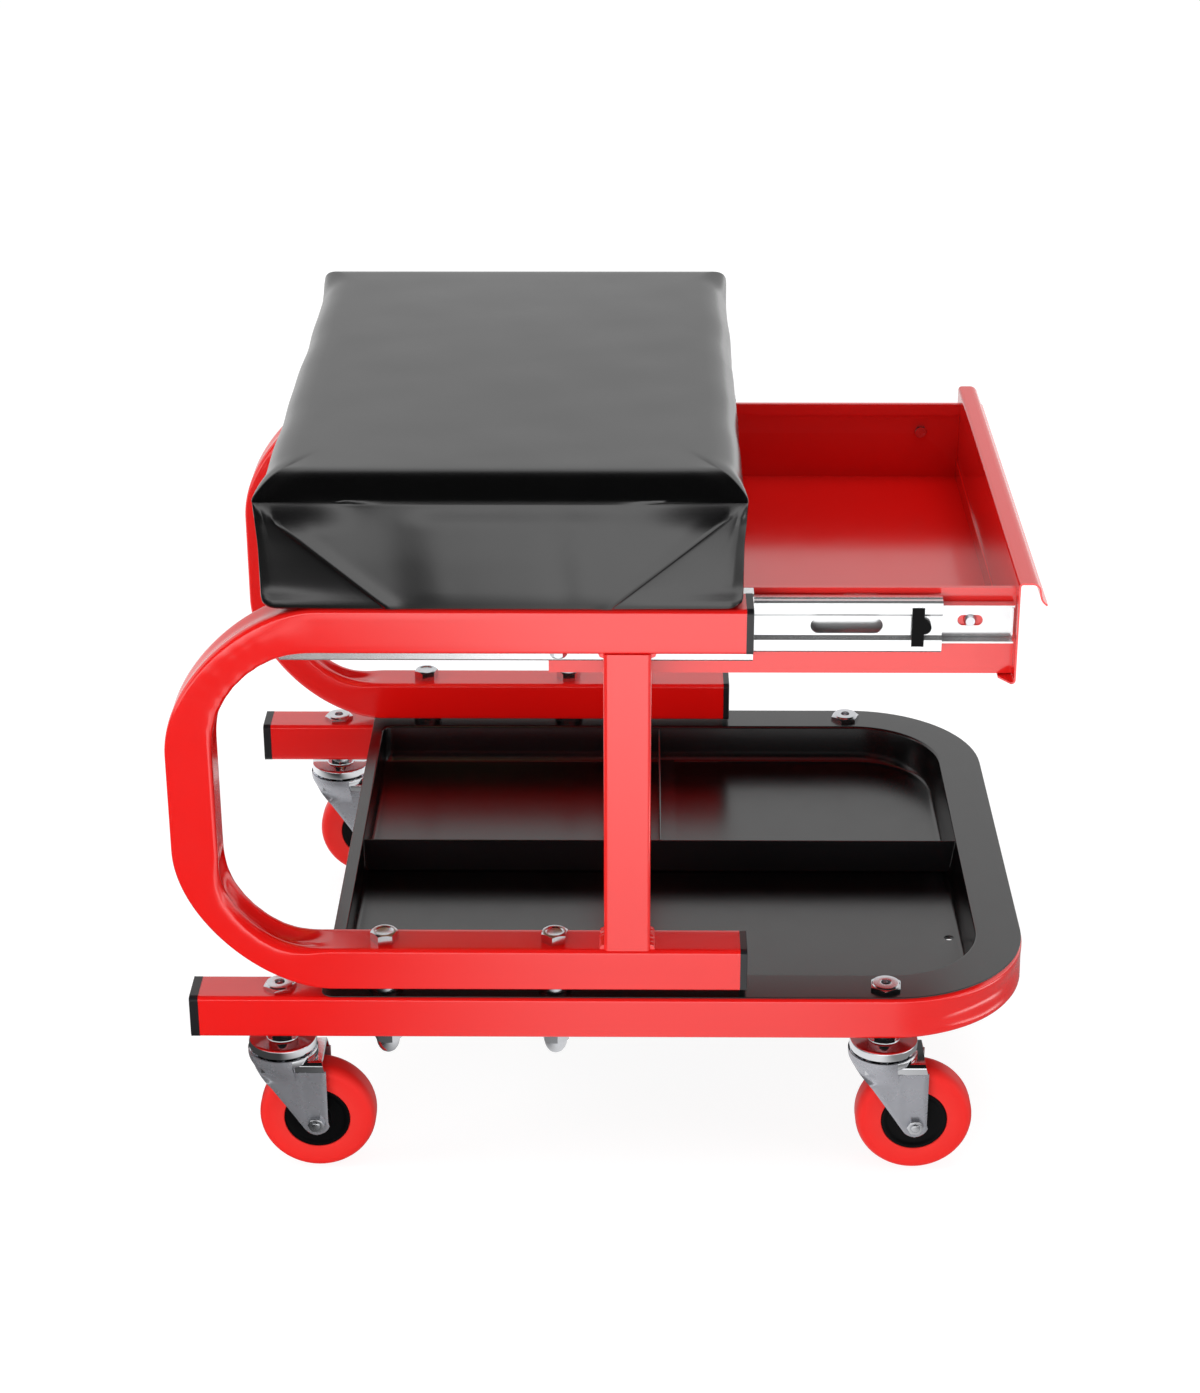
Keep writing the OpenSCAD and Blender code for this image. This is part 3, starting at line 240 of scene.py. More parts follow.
lamp("front", (0.15, -2.3, 0.16), (0, 0, 0.2), 2.4, 10, 0.3)
lamp("low_left", (-0.9, -2.1, 0.45), (0, 0.1, 0.2), 1.6, 16, 0.5)
lamp("left", (-2.2, -0.3, 1.3), (0, 0, 0.25), 1.2, 14)
lamp("right", (2.2, -1.0, 0.6), (0, 0, 0.12), 1.2, 9, 0.6)
lamp("key", (0.4, 0.1, 2.6), (0, 0, 0.2), 1.6, 17)
lamp("back", (0.2, 2.4, 1.2), (0, 0, 0.3), 2.2, 10, 1.0)

REACH = 14
corners = ((-1, -1), (1, -1), (1, 1), (-1, 1))
floor_mesh = bpy.data.meshes.new("floor")
floor_mesh.from_pydata([(x * REACH, y * REACH, 0) for x, y in corners], [], [(0, 1, 2, 3)])
floor = bpy.data.objects.new("floor", floor_mesh)
scene.collection.objects.link(floor)
fm = bpy.data.materials.new("pale_floor")
fm.use_nodes = True
ft = fm.node_tree
sh = ft.nodes["Principled BSDF"]
sh.inputs["Base Color"].default_value = (0.86, 0.86, 0.86, 1)
sh.inputs["Roughness"].default_value = 0.9
sh.inputs["Specular IOR Level"].default_value = 0.0
ray = ft.nodes.new("ShaderNodeLightPath")
where = ft.nodes.new("ShaderNodeSeparateXYZ")
ft.links.new(ft.nodes.new("ShaderNodeTexCoord").outputs["Object"], where.inputs[0])
floor_x, floor_y = where.outputs["X"], where.outputs["Y"]


def zone(value, a, b, c, d):
    return map_range(ft, value, a, b, c, d)


# Painted reflection: for glossy rays the floor shows an emission in bright and dark zones instead
# of its own shading, so glossy surfaces pick up highlights and dark streaks from it; places in
# metres
across = maths(ft, "ADD", floor_x, zone(floor_y, -0.9, -0.4, 0.0, -0.03))
across = maths(ft, "ADD", across, zone(floor_y, -1.04, -0.95, 0.14, 0.0))
beside = maths(ft, "ADD", floor_x, zone(floor_y, -0.7, -0.4, -0.1, 0.06))
painted_reflection = maths(ft, "MULTIPLY", zone(across, -0.24, -0.02, 0.06, 1.0),
            zone(beside, 0.16, 0.32, 1.0, 0.3))
painted_reflection = maths(ft, "MULTIPLY", painted_reflection, zone(floor_y, -0.95, -0.3, 1.5, 0.8))
painted_reflection = maths(ft, "MAXIMUM", painted_reflection, zone(floor_y, -2.2, -1.2, 1.6, 0.0))
painted_reflection = maths(ft, "MAXIMUM", painted_reflection, zone(floor_x, 0.7, 1.1, 0.0, 1.4))
# Painted highlight: a bright spot of floor glow that shows as a white streak in the base tube's
# right front bend and in the casters' crowns
painted_highlight_spot = maths(ft, "MULTIPLY", zone(floor_x, 0.37, 0.42, 0.0, 2.6),
              zone(floor_x, 0.44, 0.52, 1.0, 0.0))
painted_highlight_spot = maths(ft, "MULTIPLY", painted_highlight_spot, zone(floor_y, -0.4, -0.28, 0.0, 1.0))
painted_highlight_spot = maths(ft, "MULTIPLY", painted_highlight_spot, zone(floor_y, -0.14, -0.04, 1.0, 0.0))
painted_reflection = maths(ft, "MAXIMUM", painted_reflection, painted_highlight_spot)
painted_reflection = maths(ft, "MAXIMUM", painted_reflection, zone(floor_y, -0.1, 0.3, 0.0, 1.0))
# The painted reflection is emitted for glossy rays only; other rays see the floor's plain diffuse
glow = ft.nodes.new("ShaderNodeEmission")
ft.links.new(painted_reflection, glow.inputs["Strength"])
add = ft.nodes.new("ShaderNodeMixShader")
ft.links.new(ray.outputs["Is Glossy Ray"], add.inputs["Fac"])
ft.links.new(sh.outputs[0], add.inputs[1])
ft.links.new(glow.outputs[0], add.inputs[2])
white = ft.nodes.new("ShaderNodeEmission")
white.inputs["Strength"].default_value = 0.88
shade = ft.nodes.new("ShaderNodeBsdfDiffuse")
shade.inputs["Color"].default_value = (0.28, 0.28, 0.28, 1)
seen = ft.nodes.new("ShaderNodeAddShader")
ft.links.new(white.outputs[0], seen.inputs[0])
ft.links.new(shade.outputs[0], seen.inputs[1])
both = ft.nodes.new("ShaderNodeMixShader")
ft.links.new(ray.outputs["Is Camera Ray"], both.inputs["Fac"])
ft.links.new(add.outputs[0], both.inputs[1])
ft.links.new(seen.outputs[0], both.inputs[2])
ft.links.new(both.outputs[0], ft.nodes["Material Output"].inputs["Surface"])
floor_mesh.materials.append(fm)

# Mesh helpers, in millimetres; vertices closer than WELD become one

WELD = 0.004


class Shape:
    """Collects pieces of mesh; each face keeps a material index."""

    def __init__(self):
        self.v, self.f, self.m = [], [], []

    def add(self, part, move=None, mat=0):
        verts, faces = part
        n = len(self.v)
        self.v += [tuple(move @ Vector(p)) if move else tuple(p) for p in verts]
        self.f += [tuple(i + n for i in f) for f in faces]
        self.m += [mat] * len(faces)
        return self

    def piece(self, name, mats, body, slot, replaces=(), sharp=32):
        me = bpy.data.meshes.new(name)
        me.from_pydata([(x * MM, y * MM, z * MM) for x, y, z in self.v], [], self.f)
        for p, k in zip(me.polygons, self.m):
            p.material_index = k
        bm = bmesh.new()
        bm.from_mesh(me)
        bmesh.ops.remove_doubles(bm, verts=bm.verts, dist=WELD * MM)
        bmesh.ops.recalc_face_normals(bm, faces=bm.faces)
        bm.to_mesh(me)
        bm.free()
        for p in me.polygons:
            p.use_smooth = True
        me.set_sharp_from_angle(angle=rad(sharp))
        for m in mats if isinstance(mats, (list, tuple)) else [mats]:
            me.materials.append(m)
        o = bpy.data.objects.new(name, me)
        scene.collection.objects.link(o)
        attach(o, body)
        if replaces:
            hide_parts(*replaces)
        return modify(o, "WEIGHTED_NORMAL", keep_sharp=True)


def modify(o, kind, **values):
    """Adds a modifier and applies it."""
    m = o.modifiers.new(kind.lower(), kind)
    for k, v in values.items():
        setattr(m, k, v)
    bpy.context.view_layer.update()
    done = bpy.data.meshes.new_from_object(o.evaluated_get(bpy.context.evaluated_depsgraph_get()))
    o.modifiers.clear()
    old = o.data
    o.data = done
    done.name = old.name
    return o


def shift(x=0, y=0, z=0):
    return Matrix.Translation((x, y, z))


def spin(axis, degrees):
    return Matrix.Rotation(rad(degrees), 4, axis)


def rings(list_of_rings, caps=(True, True), loop=False):
    """Skin over closed rings of equal length; a loop joins the last ring to the first."""
    n, m = len(list_of_rings[0]), len(list_of_rings)
    verts = [p for r in list_of_rings for p in r]
    faces = []
    for j in range(m if loop else m - 1):
        a, b = j * n, ((j + 1) % m) * n
        for i in range(n):
            k = (i + 1) % n
            faces.append((a + i, a + k, b + k, b + i))
    if caps[0] and not loop:
        faces.append(tuple(range(n - 1, -1, -1)))
    if caps[1] and not loop:
        faces.append(tuple((m - 1) * n + i for i in range(n)))
    return verts, faces


def turned(profile, n):
    return [[(r * cos(2 * pi * i / n), r * sin(2 * pi * i / n), z) for i in range(n)]
            for r, z in profile]


def lathe(profile, n=48):
    """Turned shape about Z from (radius, height) points."""
    return rings(turned(profile, n), caps=(profile[0][0] > 0, profile[-1][0] > 0))


def tube_lathe(profile, n=48):
    """Turned shape whose profile is a closed loop."""
    return rings(turned(profile, n), loop=True)


def hex_rows(af, rc, rows, n=60):
    """Rings of a hex shape from (radius, height, fall) rows.

    A row without a radius follows the hexagon; fall lowers it where that reaches beyond rc."""
    out = []
    for radius, z, fall in rows:
        ring = []
        for i in range(n):
            reach = af / 2 / cos(rad((360 * i / n) % 60 - 30))
            r = reach if radius is None else radius
            ring.append((r * cos(2 * pi * i / n), r * sin(2 * pi * i / n),
                         z - (reach - rc) * fall))
        out.append(ring)
    return out


def hexagon(af, h, bore, top):
    """Hex nut standing on z = 0, with a curved chamfer on top and a bore of that radius."""
    rc = af / 2 * top
    return rings(hex_rows(af, rc, [(None, 0, 0), (None, h, 0.55), (rc, h, 0), (bore + 0.5, h, 0),
                                   (bore, h - 0.5, 0), (bore, 0, 0)]), loop=True)


def thread(d, z0, z1, pitch=1.5, n=24):
    """Threaded rod: a stack of ridges that climbs as a helix."""
    steps = int((z1 - z0) / pitch * 4)
    out = []
    for j in range(steps + 1):
        z = z0 + (z1 - z0) * j / steps
        row = []
        for i in range(n):
            phase = (z / pitch - i / n) % 1
            r = d / 2 - 0.9 * pitch * 0.5 * abs(2 * phase - 1)
            row.append((r * cos(2 * pi * i / n), r * sin(2 * pi * i / n), z))
        out.append(row)
    return rings(out)


def corner_arc(cx, cy, r, a0, a1, n):
    return [(cx + r * cos(rad(a0 + (a1 - a0) * i / n)), cy + r * sin(rad(a0 + (a1 - a0) * i / n)))
            for i in range(n + 1)]


def round_rect(x0, x1, y0, y1, r, n=6):
    r = r if isinstance(r, (list, tuple)) else [r] * 4
    return (corner_arc(x1 - r[0], y0 + r[0], r[0], -90, 0, n)
            + corner_arc(x1 - r[1], y1 - r[1], r[1], 0, 90, n)
            + corner_arc(x0 + r[2], y1 - r[2], r[2], 90, 180, n)
            + corner_arc(x0 + r[3], y0 + r[3], r[3], 180, 270, n))


def smooth_path(points, r, n=5):
    """Open path whose inner corners are rounded; r is one radius or one for each corner."""
    out = [points[0]]
    for k in range(1, len(points) - 1):
        p, a, b = Vector(points[k]), Vector(points[k - 1]), Vector(points[k + 1])
        u, v = (a - p), (b - p)
        radius = r[k - 1] if isinstance(r, (list, tuple)) else r
        reach = min(radius, u.length * 0.49, v.length * 0.49)
        s, e = p + u.normalized() * reach, p + v.normalized() * reach
        for i in range(n + 1):
            t = i / n
            out.append(tuple(s * (1 - t) ** 2 + p * 2 * t * (1 - t) + e * t * t))
    out.append(points[-1])
    return out


def strip(path, t):
    """Closed outline of a sheet of thickness t whose middle follows a 2D path."""
    pts = [Vector(p) for p in path]
    left, back = [], []
    for i, p in enumerate(pts):
        a = (p - pts[i - 1]).normalized() if i else (pts[1] - p).normalized()
        b = (pts[i + 1] - p).normalized() if i < len(pts) - 1 else a
        m = (a + b).normalized()
        k = t / 2 / max(0.3, m.dot(a))
        nrm = Vector((-m.y, m.x)) * k
        left.append(tuple(p + nrm))
        back.append(tuple(p - nrm))
    return left + back[::-1]


def prism(outline, z0, z1):
    """Outline extruded along Z."""
    return rings([[(x, y, z0) for x, y in outline], [(x, y, z1) for x, y in outline]])


def bump_noise(*p):
    """Smooth repeatable noise from -1 to 1."""
    x, y, z = (list(p) + [0, 0])[:3]
    return (sin(x * 1.7 + sin(y * 2.3 + 1.1) * 1.3 + z)
            + sin(x * 3.1 + y * 1.9 + 0.7 * z + 2.0) * 0.6
            + sin(y * 4.3 - x * 0.9 + 4.1 + z * 1.3) * 0.4) / 2.0


# Frames: square tube swept along its bends; H is half the width of the tube

H = 12.5
BASE_Z, BASE_REAR, LEG_Y = 99.0, -225.0, 175.5
ARM_ZS, ARM_FRONT, POST_X = (129.0, 329.0), 71.5, 10.0


def smooth(t):
    t = max(0.0, min(1.0, t))
    return t * t * (3 - 2 * t)


def tube_ring(r_out, r_in, dent, dish, bulge, pull=0.0, lift=0.0, far_lift=0.0):
    """Section of the square tube as (out, side); out points away from the bend's centre.

    pull draws the outer wall in; lift and far_lift raise the inner wall's two edges."""
    co, ci = H - r_out, H - r_in
    wall = [-1 + k / 5 for k in range(11)]
    flute = [cos(pi / 2 * t) ** 2 for t in wall]
    ring = [(H - dish * f, co * t) for t, f in zip(wall, flute)]
    ring += [(co + r_out * cos(rad(a)), co + r_out * sin(rad(a))) for a in (22, 45, 68, 90)]
    for k in range(1, 6):
        s = k / 6
        ring.append((co - (co + ci) * s, H + bulge * sin(pi * s)))
    ring += [(-ci + r_in * cos(rad(a)), ci + r_in * sin(rad(a))) for a in (90, 112, 135, 158)]
    ring += [(-H + dent * f, -ci * t) for t, f in zip(wall, flute)]
    ring += [(-ci + r_in * cos(rad(a)), -ci + r_in * sin(rad(a))) for a in (202, 225, 248, 270)]
    for k in range(1, 6):
        s = k / 6
        ring.append((-ci + (co + ci) * s, -H - bulge * sin(pi * s)))
    ring += [(co + r_out * cos(rad(a)), -co + r_out * sin(rad(a))) for a in (270, 292, 315, 338)]
    out = []
    for o, q in ring:
        near = (q / H + 1) / 2
        rise = far_lift + (lift - far_lift) * max(0.0, min(1.0, near))
        out.append((o - pull * smooth(o / H) + rise * smooth(-o / H), q))
    return out


def bend(cx, cy, r, a0, a1, n):
    """Stops along a bend: place, heading and share of the way round."""
    stops = []
    for i in range(n + 1):
        a = a0 + (a1 - a0) * i / n
        stops.append((cx + r * cos(rad(a)), cy + r * sin(rad(a)), a, i / n))
    return stops


def base_tube():
    """The U of the base, whose two bends are dished on the outside."""
    mid_r, bx, by = 66.5, 155.0, 109.0
    run = bx - BASE_REAR
    stops = [(BASE_REAR + k * run / 12, -LEG_Y, -90, 0.0) for k in range(12)]
    stops += bend(bx, -by, mid_r, -90, 0, 28)
    stops += [(bx + mid_r, -by + 2 * by * k / 8, 0, 0.0) for k in range(1, 8)]
    stops += bend(bx, by, mid_r, 0, 90, 28)
    stops += [(bx - k * run / 12, LEG_Y, 90, 0.0) for k in range(1, 13)]
    out = []
    for x, y, a, share in stops:
        b = smooth(sin(pi * share))
        sec = tube_ring(2.2 + 0.8 * b, 2.2 + 1.0 * b, 1.4 * b, 1.5 * b, 0.35 * b)
        out.append([(x + o * cos(rad(a)), y + o * sin(rad(a)), BASE_Z + s) for o, s in sec])
    return rings(out, caps=(False, False))


Shape().add(base_tube()).piece("base_tube", RED, "frame", "red_paint", ["base_frame"], sharp=50)


def bow_tube(side):
    """One side frame; the bends have a crushed inner wall and a dished outer one."""
    cx, mr, n = -150.0, 71.5, 46
    z_low, z_high = 200.5, 257.5
    run = ARM_FRONT - cx
    stops = [(ARM_FRONT - k * run / 9, ARM_ZS[0], -90, 0.0, 0.0) for k in range(9)]
    stops += [(x, z, a, sin(pi * t), t) for x, z, a, t in bend(cx, z_low, mr, -90, -180, n)]
    stops += [(cx - mr, z_low + (z_high - z_low) * k / 6, 180, 0.0, 0.0) for k in range(1, 6)]
    stops += [(x, z, a, sin(pi * t), 1 + t) for x, z, a, t in bend(cx, z_high, mr, 180, 90, n)]
    stops += [(cx + k * run / 9, ARM_ZS[1], 90, 0.0, 0.0) for k in range(1, 10)]
    out = []
    for j, (x, z, a, b, t) in enumerate(stops):
        low = t < 1 and j < len(stops) // 2
        pull = 3.6 * b ** 1.6
        b = smooth(b * 1.1)
        rough = b * (0.25 if low else smooth((1.95 - t) / 0.5))
        rip = rough * sin(t * 66 + 0.8 * sin(t * 23))
        r_in = 2.2 + 2.6 * b + 0.6 * rip
        sec = tube_ring(2.2 + 0.6 * b, r_in, 4.6 * b + 0.5 * rip, 1.1 * b, 0.5 * b + 0.1 * rip,
                        pull, (3.8 if low else 0.6) * b, (1.4 if low else 0.5) * b)
        out.append([(x + o * cos(rad(a)), side * (LEG_Y + s), z + o * sin(rad(a)))
                    for o, s in sec])
    return rings(out, caps=(False, False))


def weld_bead(path, size, seed):
    """Lumpy weld bead along a path of points."""
    pts = [Vector(p) for p in path]
    upward = Vector((0, 0, 1))
    out = []
    for i, p in enumerate(pts):
        t = (pts[min(i + 1, len(pts) - 1)] - pts[max(i - 1, 0)]).normalized()
        outward = t.cross(upward).normalized()
        r = size * (0.85 + 0.3 * abs(sin(i * 1.25 + seed)) + 0.1 * bump_noise(i * 0.9 + seed))
        ring = []
        for k in range(8):
            a = 2 * pi * k / 8
            ring.append(tuple(p + outward * r * cos(a) + upward * r * sin(a)))
        out.append(ring)
    return rings(out)


for side, name in ((-1, "left"), (1, "right")):
    Shape().add(bow_tube(side)).piece(name + "_bow_tube", RED, "frame", "red_paint",
                                      [name + "_side_frame"], sharp=50)
    post = Shape()
    outline = round_rect(POST_X - H, POST_X + H, side * LEG_Y - H, side * LEG_Y + H, 2.2, 5)
    post.add(prism(outline, ARM_ZS[0] + H, ARM_ZS[1] - H))
    for x_side in (-1, 1):
        for z, seed in ((141.9, 1.0 + x_side), (316.1, 2.6 + x_side)):
            x = POST_X + x_side * (H + 0.3)
            run = [(x, side * LEG_Y + (-10.5 + 21 * k / 26), z) for k in range(27)]
            post.add(weld_bead(run, 2.1, seed + side))
    post.piece(name + "_post_tube", RED, "frame", "red_paint", [name + "_post"])


def end_plug(x, y, z, way, t):
    """Moulded end cap with a rounded rim; way is the direction it looks along X."""
    rows = []
    for d, grow in ((0.0, 0.0), (0.0, 0.5), (t - 1.0, 0.5), (t - 0.3, 0.2), (t, -0.9)):
        g = H + (0.25 if grow > 0.1 else grow)
        o = round_rect(-g, g, -g, g, max(0.8, 2.4 + grow), 5)
        rows.append([(x + way * d, y + p, z + q) for p, q in o])
    return rings(rows)


base_plugs, arm_plugs = Shape(), Shape()
for side in (-1, 1):
    base_plugs.add(end_plug(BASE_REAR, side * LEG_Y, BASE_Z, -1, 5))
    for z in ARM_ZS:
        arm_plugs.add(end_plug(ARM_FRONT, side * LEG_Y, z, 1, 3.8))
base_plugs.piece("base_plugs", PLASTIC, "frame", "black_plastic", ["base_end_caps"])
arm_plugs.piece("arm_plugs", PLASTIC, "frame", "black_plastic", ["side_frame_caps"])

# Tray: flat rim, leaning walls with rounded edges, floor, folded dividers

RIM_Z, FLOOR_Z, PAN_Z1, DROP = 112.5, 90.0, 111.5, 22.5
PAN_FRONT, PAN_HALF, LEAN_X, LEAN_Y = 208.5, 162.5, 3.3, 4.8
SHEET, GAP = 1.0, 0.2
DRAIN_X, DRAIN_Y, DRAIN_HALF = 196.9, -79.5, 2.8


def tray_ring(kind, z, inset=0.0, k=0.0):
    """Ring of the rim or the pan at height z; k is how far down the wall it is, from 0 to 1."""
    if kind == "rim":
        rf, rr = 78.5 - inset, 7 - min(inset, 5)
        outline = round_rect(-157.5 + inset, 233.5 - inset, -187.5 + inset, 187.5 - inset,
                             [rf, rf, rr, rr], 20)
    else:
        w = PAN_HALF - LEAN_Y * k - inset
        rf, rr = 53.5 - LEAN_Y * k - inset, max(1.0, 7 - inset)
        outline = round_rect(-151 + inset, PAN_FRONT - LEAN_X * k - inset, -w, w,
                             [rf, rf, rr, rr], 20)
    return [(x, y, z) for x, y in outline]


def tray_pan():
    """Upper skin and under skin of the tray, each from the rim down to the floor."""
    top = [tray_ring("rim", RIM_Z - down, inset)
           for inset, down in ((0.5, 0.95), (0.0, 0.6), (0.15, 0.15), (0.6, 0.0))]
    r = 1.6
    for a in (0, 30, 60, 90):
        top.append(tray_ring("pan", RIM_Z - r * (1 - cos(rad(a))), 1.0 - r * (1 - sin(rad(a)))))
    for k in (0.2, 0.35, 0.5, 0.65, 0.78):
        top.append(tray_ring("pan", PAN_Z1 - DROP * k, 1.0, k))
    r = 3.0
    for a in (15, 35, 55, 75, 90):
        inset = 1.0 + r * (1 - cos(rad(a)))
        top.append(tray_ring("pan", FLOOR_Z + r * (1 - sin(rad(a))), inset, 1.0))
    top += [tray_ring("pan", FLOOR_Z, inset, 1.0) for inset in (5.5, 8.0)]
    under = [tray_ring("rim", RIM_Z - 0.95, 0.5), tray_ring("rim", RIM_Z - 0.98, 1.2),
             tray_ring("pan", RIM_Z - 1.0, -0.6), tray_ring("pan", RIM_Z - 1.8, 0.0, 0.03),
             tray_ring("pan", FLOOR_Z + 2.6, 0.0, 0.84)]
    r = 4
    for a in (30, 60, 90):
        inset = r * (1 - cos(rad(a)))
        under.append(tray_ring("pan", FLOOR_Z - 1 + r * (1 - sin(rad(a))), inset, 1.0))
    under.append(tray_ring("pan", FLOOR_Z - 1.0, 7.0, 1.0))
    return Shape().add(rings(top, caps=(False, True))).add(rings(under, caps=(False, True)))


tray = tray_pan().piece("tray_pan", BLACK, "frame", "black_paint", ["tray"], sharp=40)
drain = Shape().add(prism(round_rect(DRAIN_X - DRAIN_HALF, DRAIN_X + DRAIN_HALF,
                                     DRAIN_Y - DRAIN_HALF, DRAIN_Y + DRAIN_HALF, 2.75, 8), 80, 100))
cutter = drain.piece("drain_cutter", BLACK, "frame", "black_paint")
modify(tray, "BOOLEAN", operation="DIFFERENCE", object=cutter, solver="EXACT")
modify(tray, "WEIGHTED_NORMAL", keep_sharp=True)
bpy.data.objects.remove(cutter)


def front_x(z):
    """Inner face of the pan's front wall, less a small gap."""
    return PAN_FRONT - SHEET - LEAN_X * (PAN_Z1 - z) / DROP - GAP


def side_y(z):
    """Inner face of the pan's side wall, less a small gap."""
    return PAN_HALF - SHEET - LEAN_Y * (PAN_Z1 - z) / DROP - GAP


def divider_section(foot, wall):
    """A wall of sheet, folded at its lower edge into a foot that lies on the floor."""
    return strip(smooth_path([(foot, 90.5), (wall, 90.5), (wall, 110.9)], 1.5), SHEET)


LONG_Y, LONG_REAR, SHORT_X, SHORT_NEAR, DIVIDER_Z1 = 1.5, -149.8, 29.7, 2.2, 111.0
top_edge = [(0.55 * cos(rad(a)), DIVIDER_Z1 + 0.5 * sin(rad(a))) for a in range(0, 360, 45)]
sec = divider_section(11.5, LONG_Y)
long_wall = Shape().add(rings([[(LONG_REAR, y, z) for y, z in sec],
                               [(front_x(z), y, z) for y, z in sec]]))
long_wall.add(rings([[(x, LONG_Y + q, z) for q, z in top_edge]
                     for x in (LONG_REAR, front_x(DIVIDER_Z1))]))
long_wall.piece("long_divider_sheet", BLACK, "frame", "black_paint", ["tray_long_divider"])
sec = divider_section(39.7, SHORT_X)
near_end = [(x, 11.9 if x > 31 or z < 97 else SHORT_NEAR, z) for x, z in sec]
short_wall = Shape().add(rings([near_end, [(x, side_y(z), z) for x, z in sec]]))
short_wall.add(rings([[(SHORT_X + p, y, z) for p, z in top_edge]
                      for y in (SHORT_NEAR, side_y(DIVIDER_Z1))]))
short_wall.piece("short_divider_sheet", BLACK, "frame", "black_paint", ["tray_short_divider"])
collar = tube_lathe([(2.8, 89.7), (2.9, 89.5), (2.9, 87.6), (3.1, 87.3), (3.5, 87.3), (3.7, 87.6),
                     (3.7, 89.5)], 32)
Shape().add(collar, shift(DRAIN_X, DRAIN_Y)).piece(
    "drain_collar", BLACK, "frame", "black_paint")

# Casters: name, place of the swivel axis, and where the stem's nut sits

CASTERS = (("front_left", 152, -LEG_Y, 112.5), ("front_right", 152, LEG_Y, 112.5),
           ("rear_left", -181, -LEG_Y, 111.5), ("rear_right", -181, LEG_Y, 111.5))
TRAIL, AXLE_Z = 18.0, 32.5


def fork_part():
    """Pressed fork: two legs whose slanted halves flare into a round crown, and the top plate."""
    t, half = 1.6, 14.2
    front, back, foot_r, top = -11.0, 24.6, 7.6, 70.7
    flare_z0, flare_z1, crease = 57.5, 74.3, 9.0
    n, m = 18, 22
    axle = Vector((TRAIL, AXLE_Z))
    lead = Vector((front, 63.5))
    v = axle - lead
    a = math.atan2(v.y, v.x) - math.asin(foot_r / v.length)
    touch = lead + Vector((cos(a), sin(a))) * sqrt(v.length_squared - foot_r ** 2)

    def x_front(z):
        return lead.x + (touch.x - lead.x) * (lead.y - z) / (lead.y - touch.y)

    levels = [24.95, 25.3, 26.0, 27.0, 28.4, 30.2, 32.5, 36, 40, 44, 48, 52, 56, 57.5, 60, 63, 65.4]
    parts = Shape()
    for s in (-1, 1):
        rows = []
        for z in levels:
            if z < axle.y:
                w = sqrt(max(0.0, foot_r ** 2 - (axle.y - z) ** 2))
                x0, x1 = axle.x - w, axle.x + w
                if z > touch.y:
                    x0 = x_front(z)
            else:
                x0 = x_front(min(z, flare_z0)) + 1.5 * max(0.0, z - flare_z0)
                x1 = back
            row_out, row_in = [], []
            for k in range(n + 1):
                x = x0 + (x1 - x0) * k / n
                edge = min(x - x0, x1 - x)
                tilt = 1.5 * max(0.0, (crease - x) / 20) * smooth((z - 26) / 30)
                y = half + tilt + 0.35 * math.exp(-((x - crease) / 1.3) ** 2) * smooth((z - 30) / 8)
                row_out.append((x, s * (y + t / 2 - 0.45 * (1 - smooth(edge / 0.8))), z))
                row_in.append((x, s * (y - t / 2 + 0.3 * (1 - smooth(edge / 0.8))), z))
            rows.append(row_out + row_in[::-1])
        parts.add(rings(rows))
        flare = []
        for j in range(13):
            z = flare_z0 + (flare_z1 - flare_z0) * j / 12
            w = smooth((72.0 - z) / 13.5)
            outer, inner = [], []
            for k in range(m + 1):
                f = k / m
                th = rad(170 + 120 * f)
                xl = x_front(z) + (crease - 1 - x_front(z)) * f
                tilt = 1.5 * max(0.0, (crease - xl) / 20)
                proud = 0.05 + 0.5 * sin(pi * j / 12)
                for r, y0, row in ((19.5, half + t / 2 + tilt + proud, outer),
                                   (18.2, half + t / 2 - 1.0, inner)):
                    x = r * cos(th) * (1 - w) + xl * w
                    y = r * sin(th) * (1 - w) - y0 * w
                    row.append((x, -s * y, z))
            flare.append(outer + inner[::-1])
        parts.add(rings(flare))
    yz = strip(smooth_path([(-half, 65.3), (-half, top), (half, top), (half, 65.3)], 5.2, 9), t)
    plate = []
    for x in [front + (back - front) * k / 12 for k in range(13)]:
        plate.append([(min(x, 22.4 + 0.25 * (71.5 - z)), y, z) for y, z in yz])
    return parts, rings(plate)


def head_parts():
    """Crown ring of the fork, and the swivel cap with its collar above it; both are turned."""
    race = lathe([(5.1, 69.0), (18.0, 69.2), (18.9, 70.4), (19.3, 72.0), (19.4, 73.4), (19.0, 74.2),
                  (18.2, 74.5), (5.1, 74.5)])
    cap = tube_lathe([(5.0, 77.5), (16.4, 77.4), (17.3, 76.6), (17.7, 75.7), (18.3, 75.5),
                      (18.8, 75.8), (18.9, 76.4), (18.8, 79.7), (18.6, 80.3), (18.1, 80.6),
                      (16.0, 80.62), (9.6, 80.6), (9.0, 80.9), (8.6, 81.8), (8.5, 86.1),
                      (8.2, 86.5), (5.0, 86.5)])
    return race, cap


def wheel_parts():
    """Tyre and hub about the axle, drawn about Z."""
    tyre = [(18.3, -8.9), (18.9, -9.6), (26.5, -9.75), (28.2, -9.65)]
    tyre += [(28.4 + 4.1 * sin(rad(a)), -3.2 - 6.3 * cos(rad(a))) for a in range(0, 91, 15)]
    tyre += [(32.5, 0.0)]
    tyre += [(p[0], -p[1]) for p in tyre[-2::-1]]
    half = [(3.05, -12.8), (6.6, -12.8), (7.2, -12.3), (7.7, -8.2), (9.0, -7.7), (14.4, -7.9),
            (15.6, -8.5), (16.4, -9.2), (17.2, -9.4), (18.0, -9.3), (18.3, -8.9)]
    hub = half + [(p[0], -p[1]) for p in half[::-1]]
    return tube_lathe(tyre, 72), tube_lathe(hub, 64)


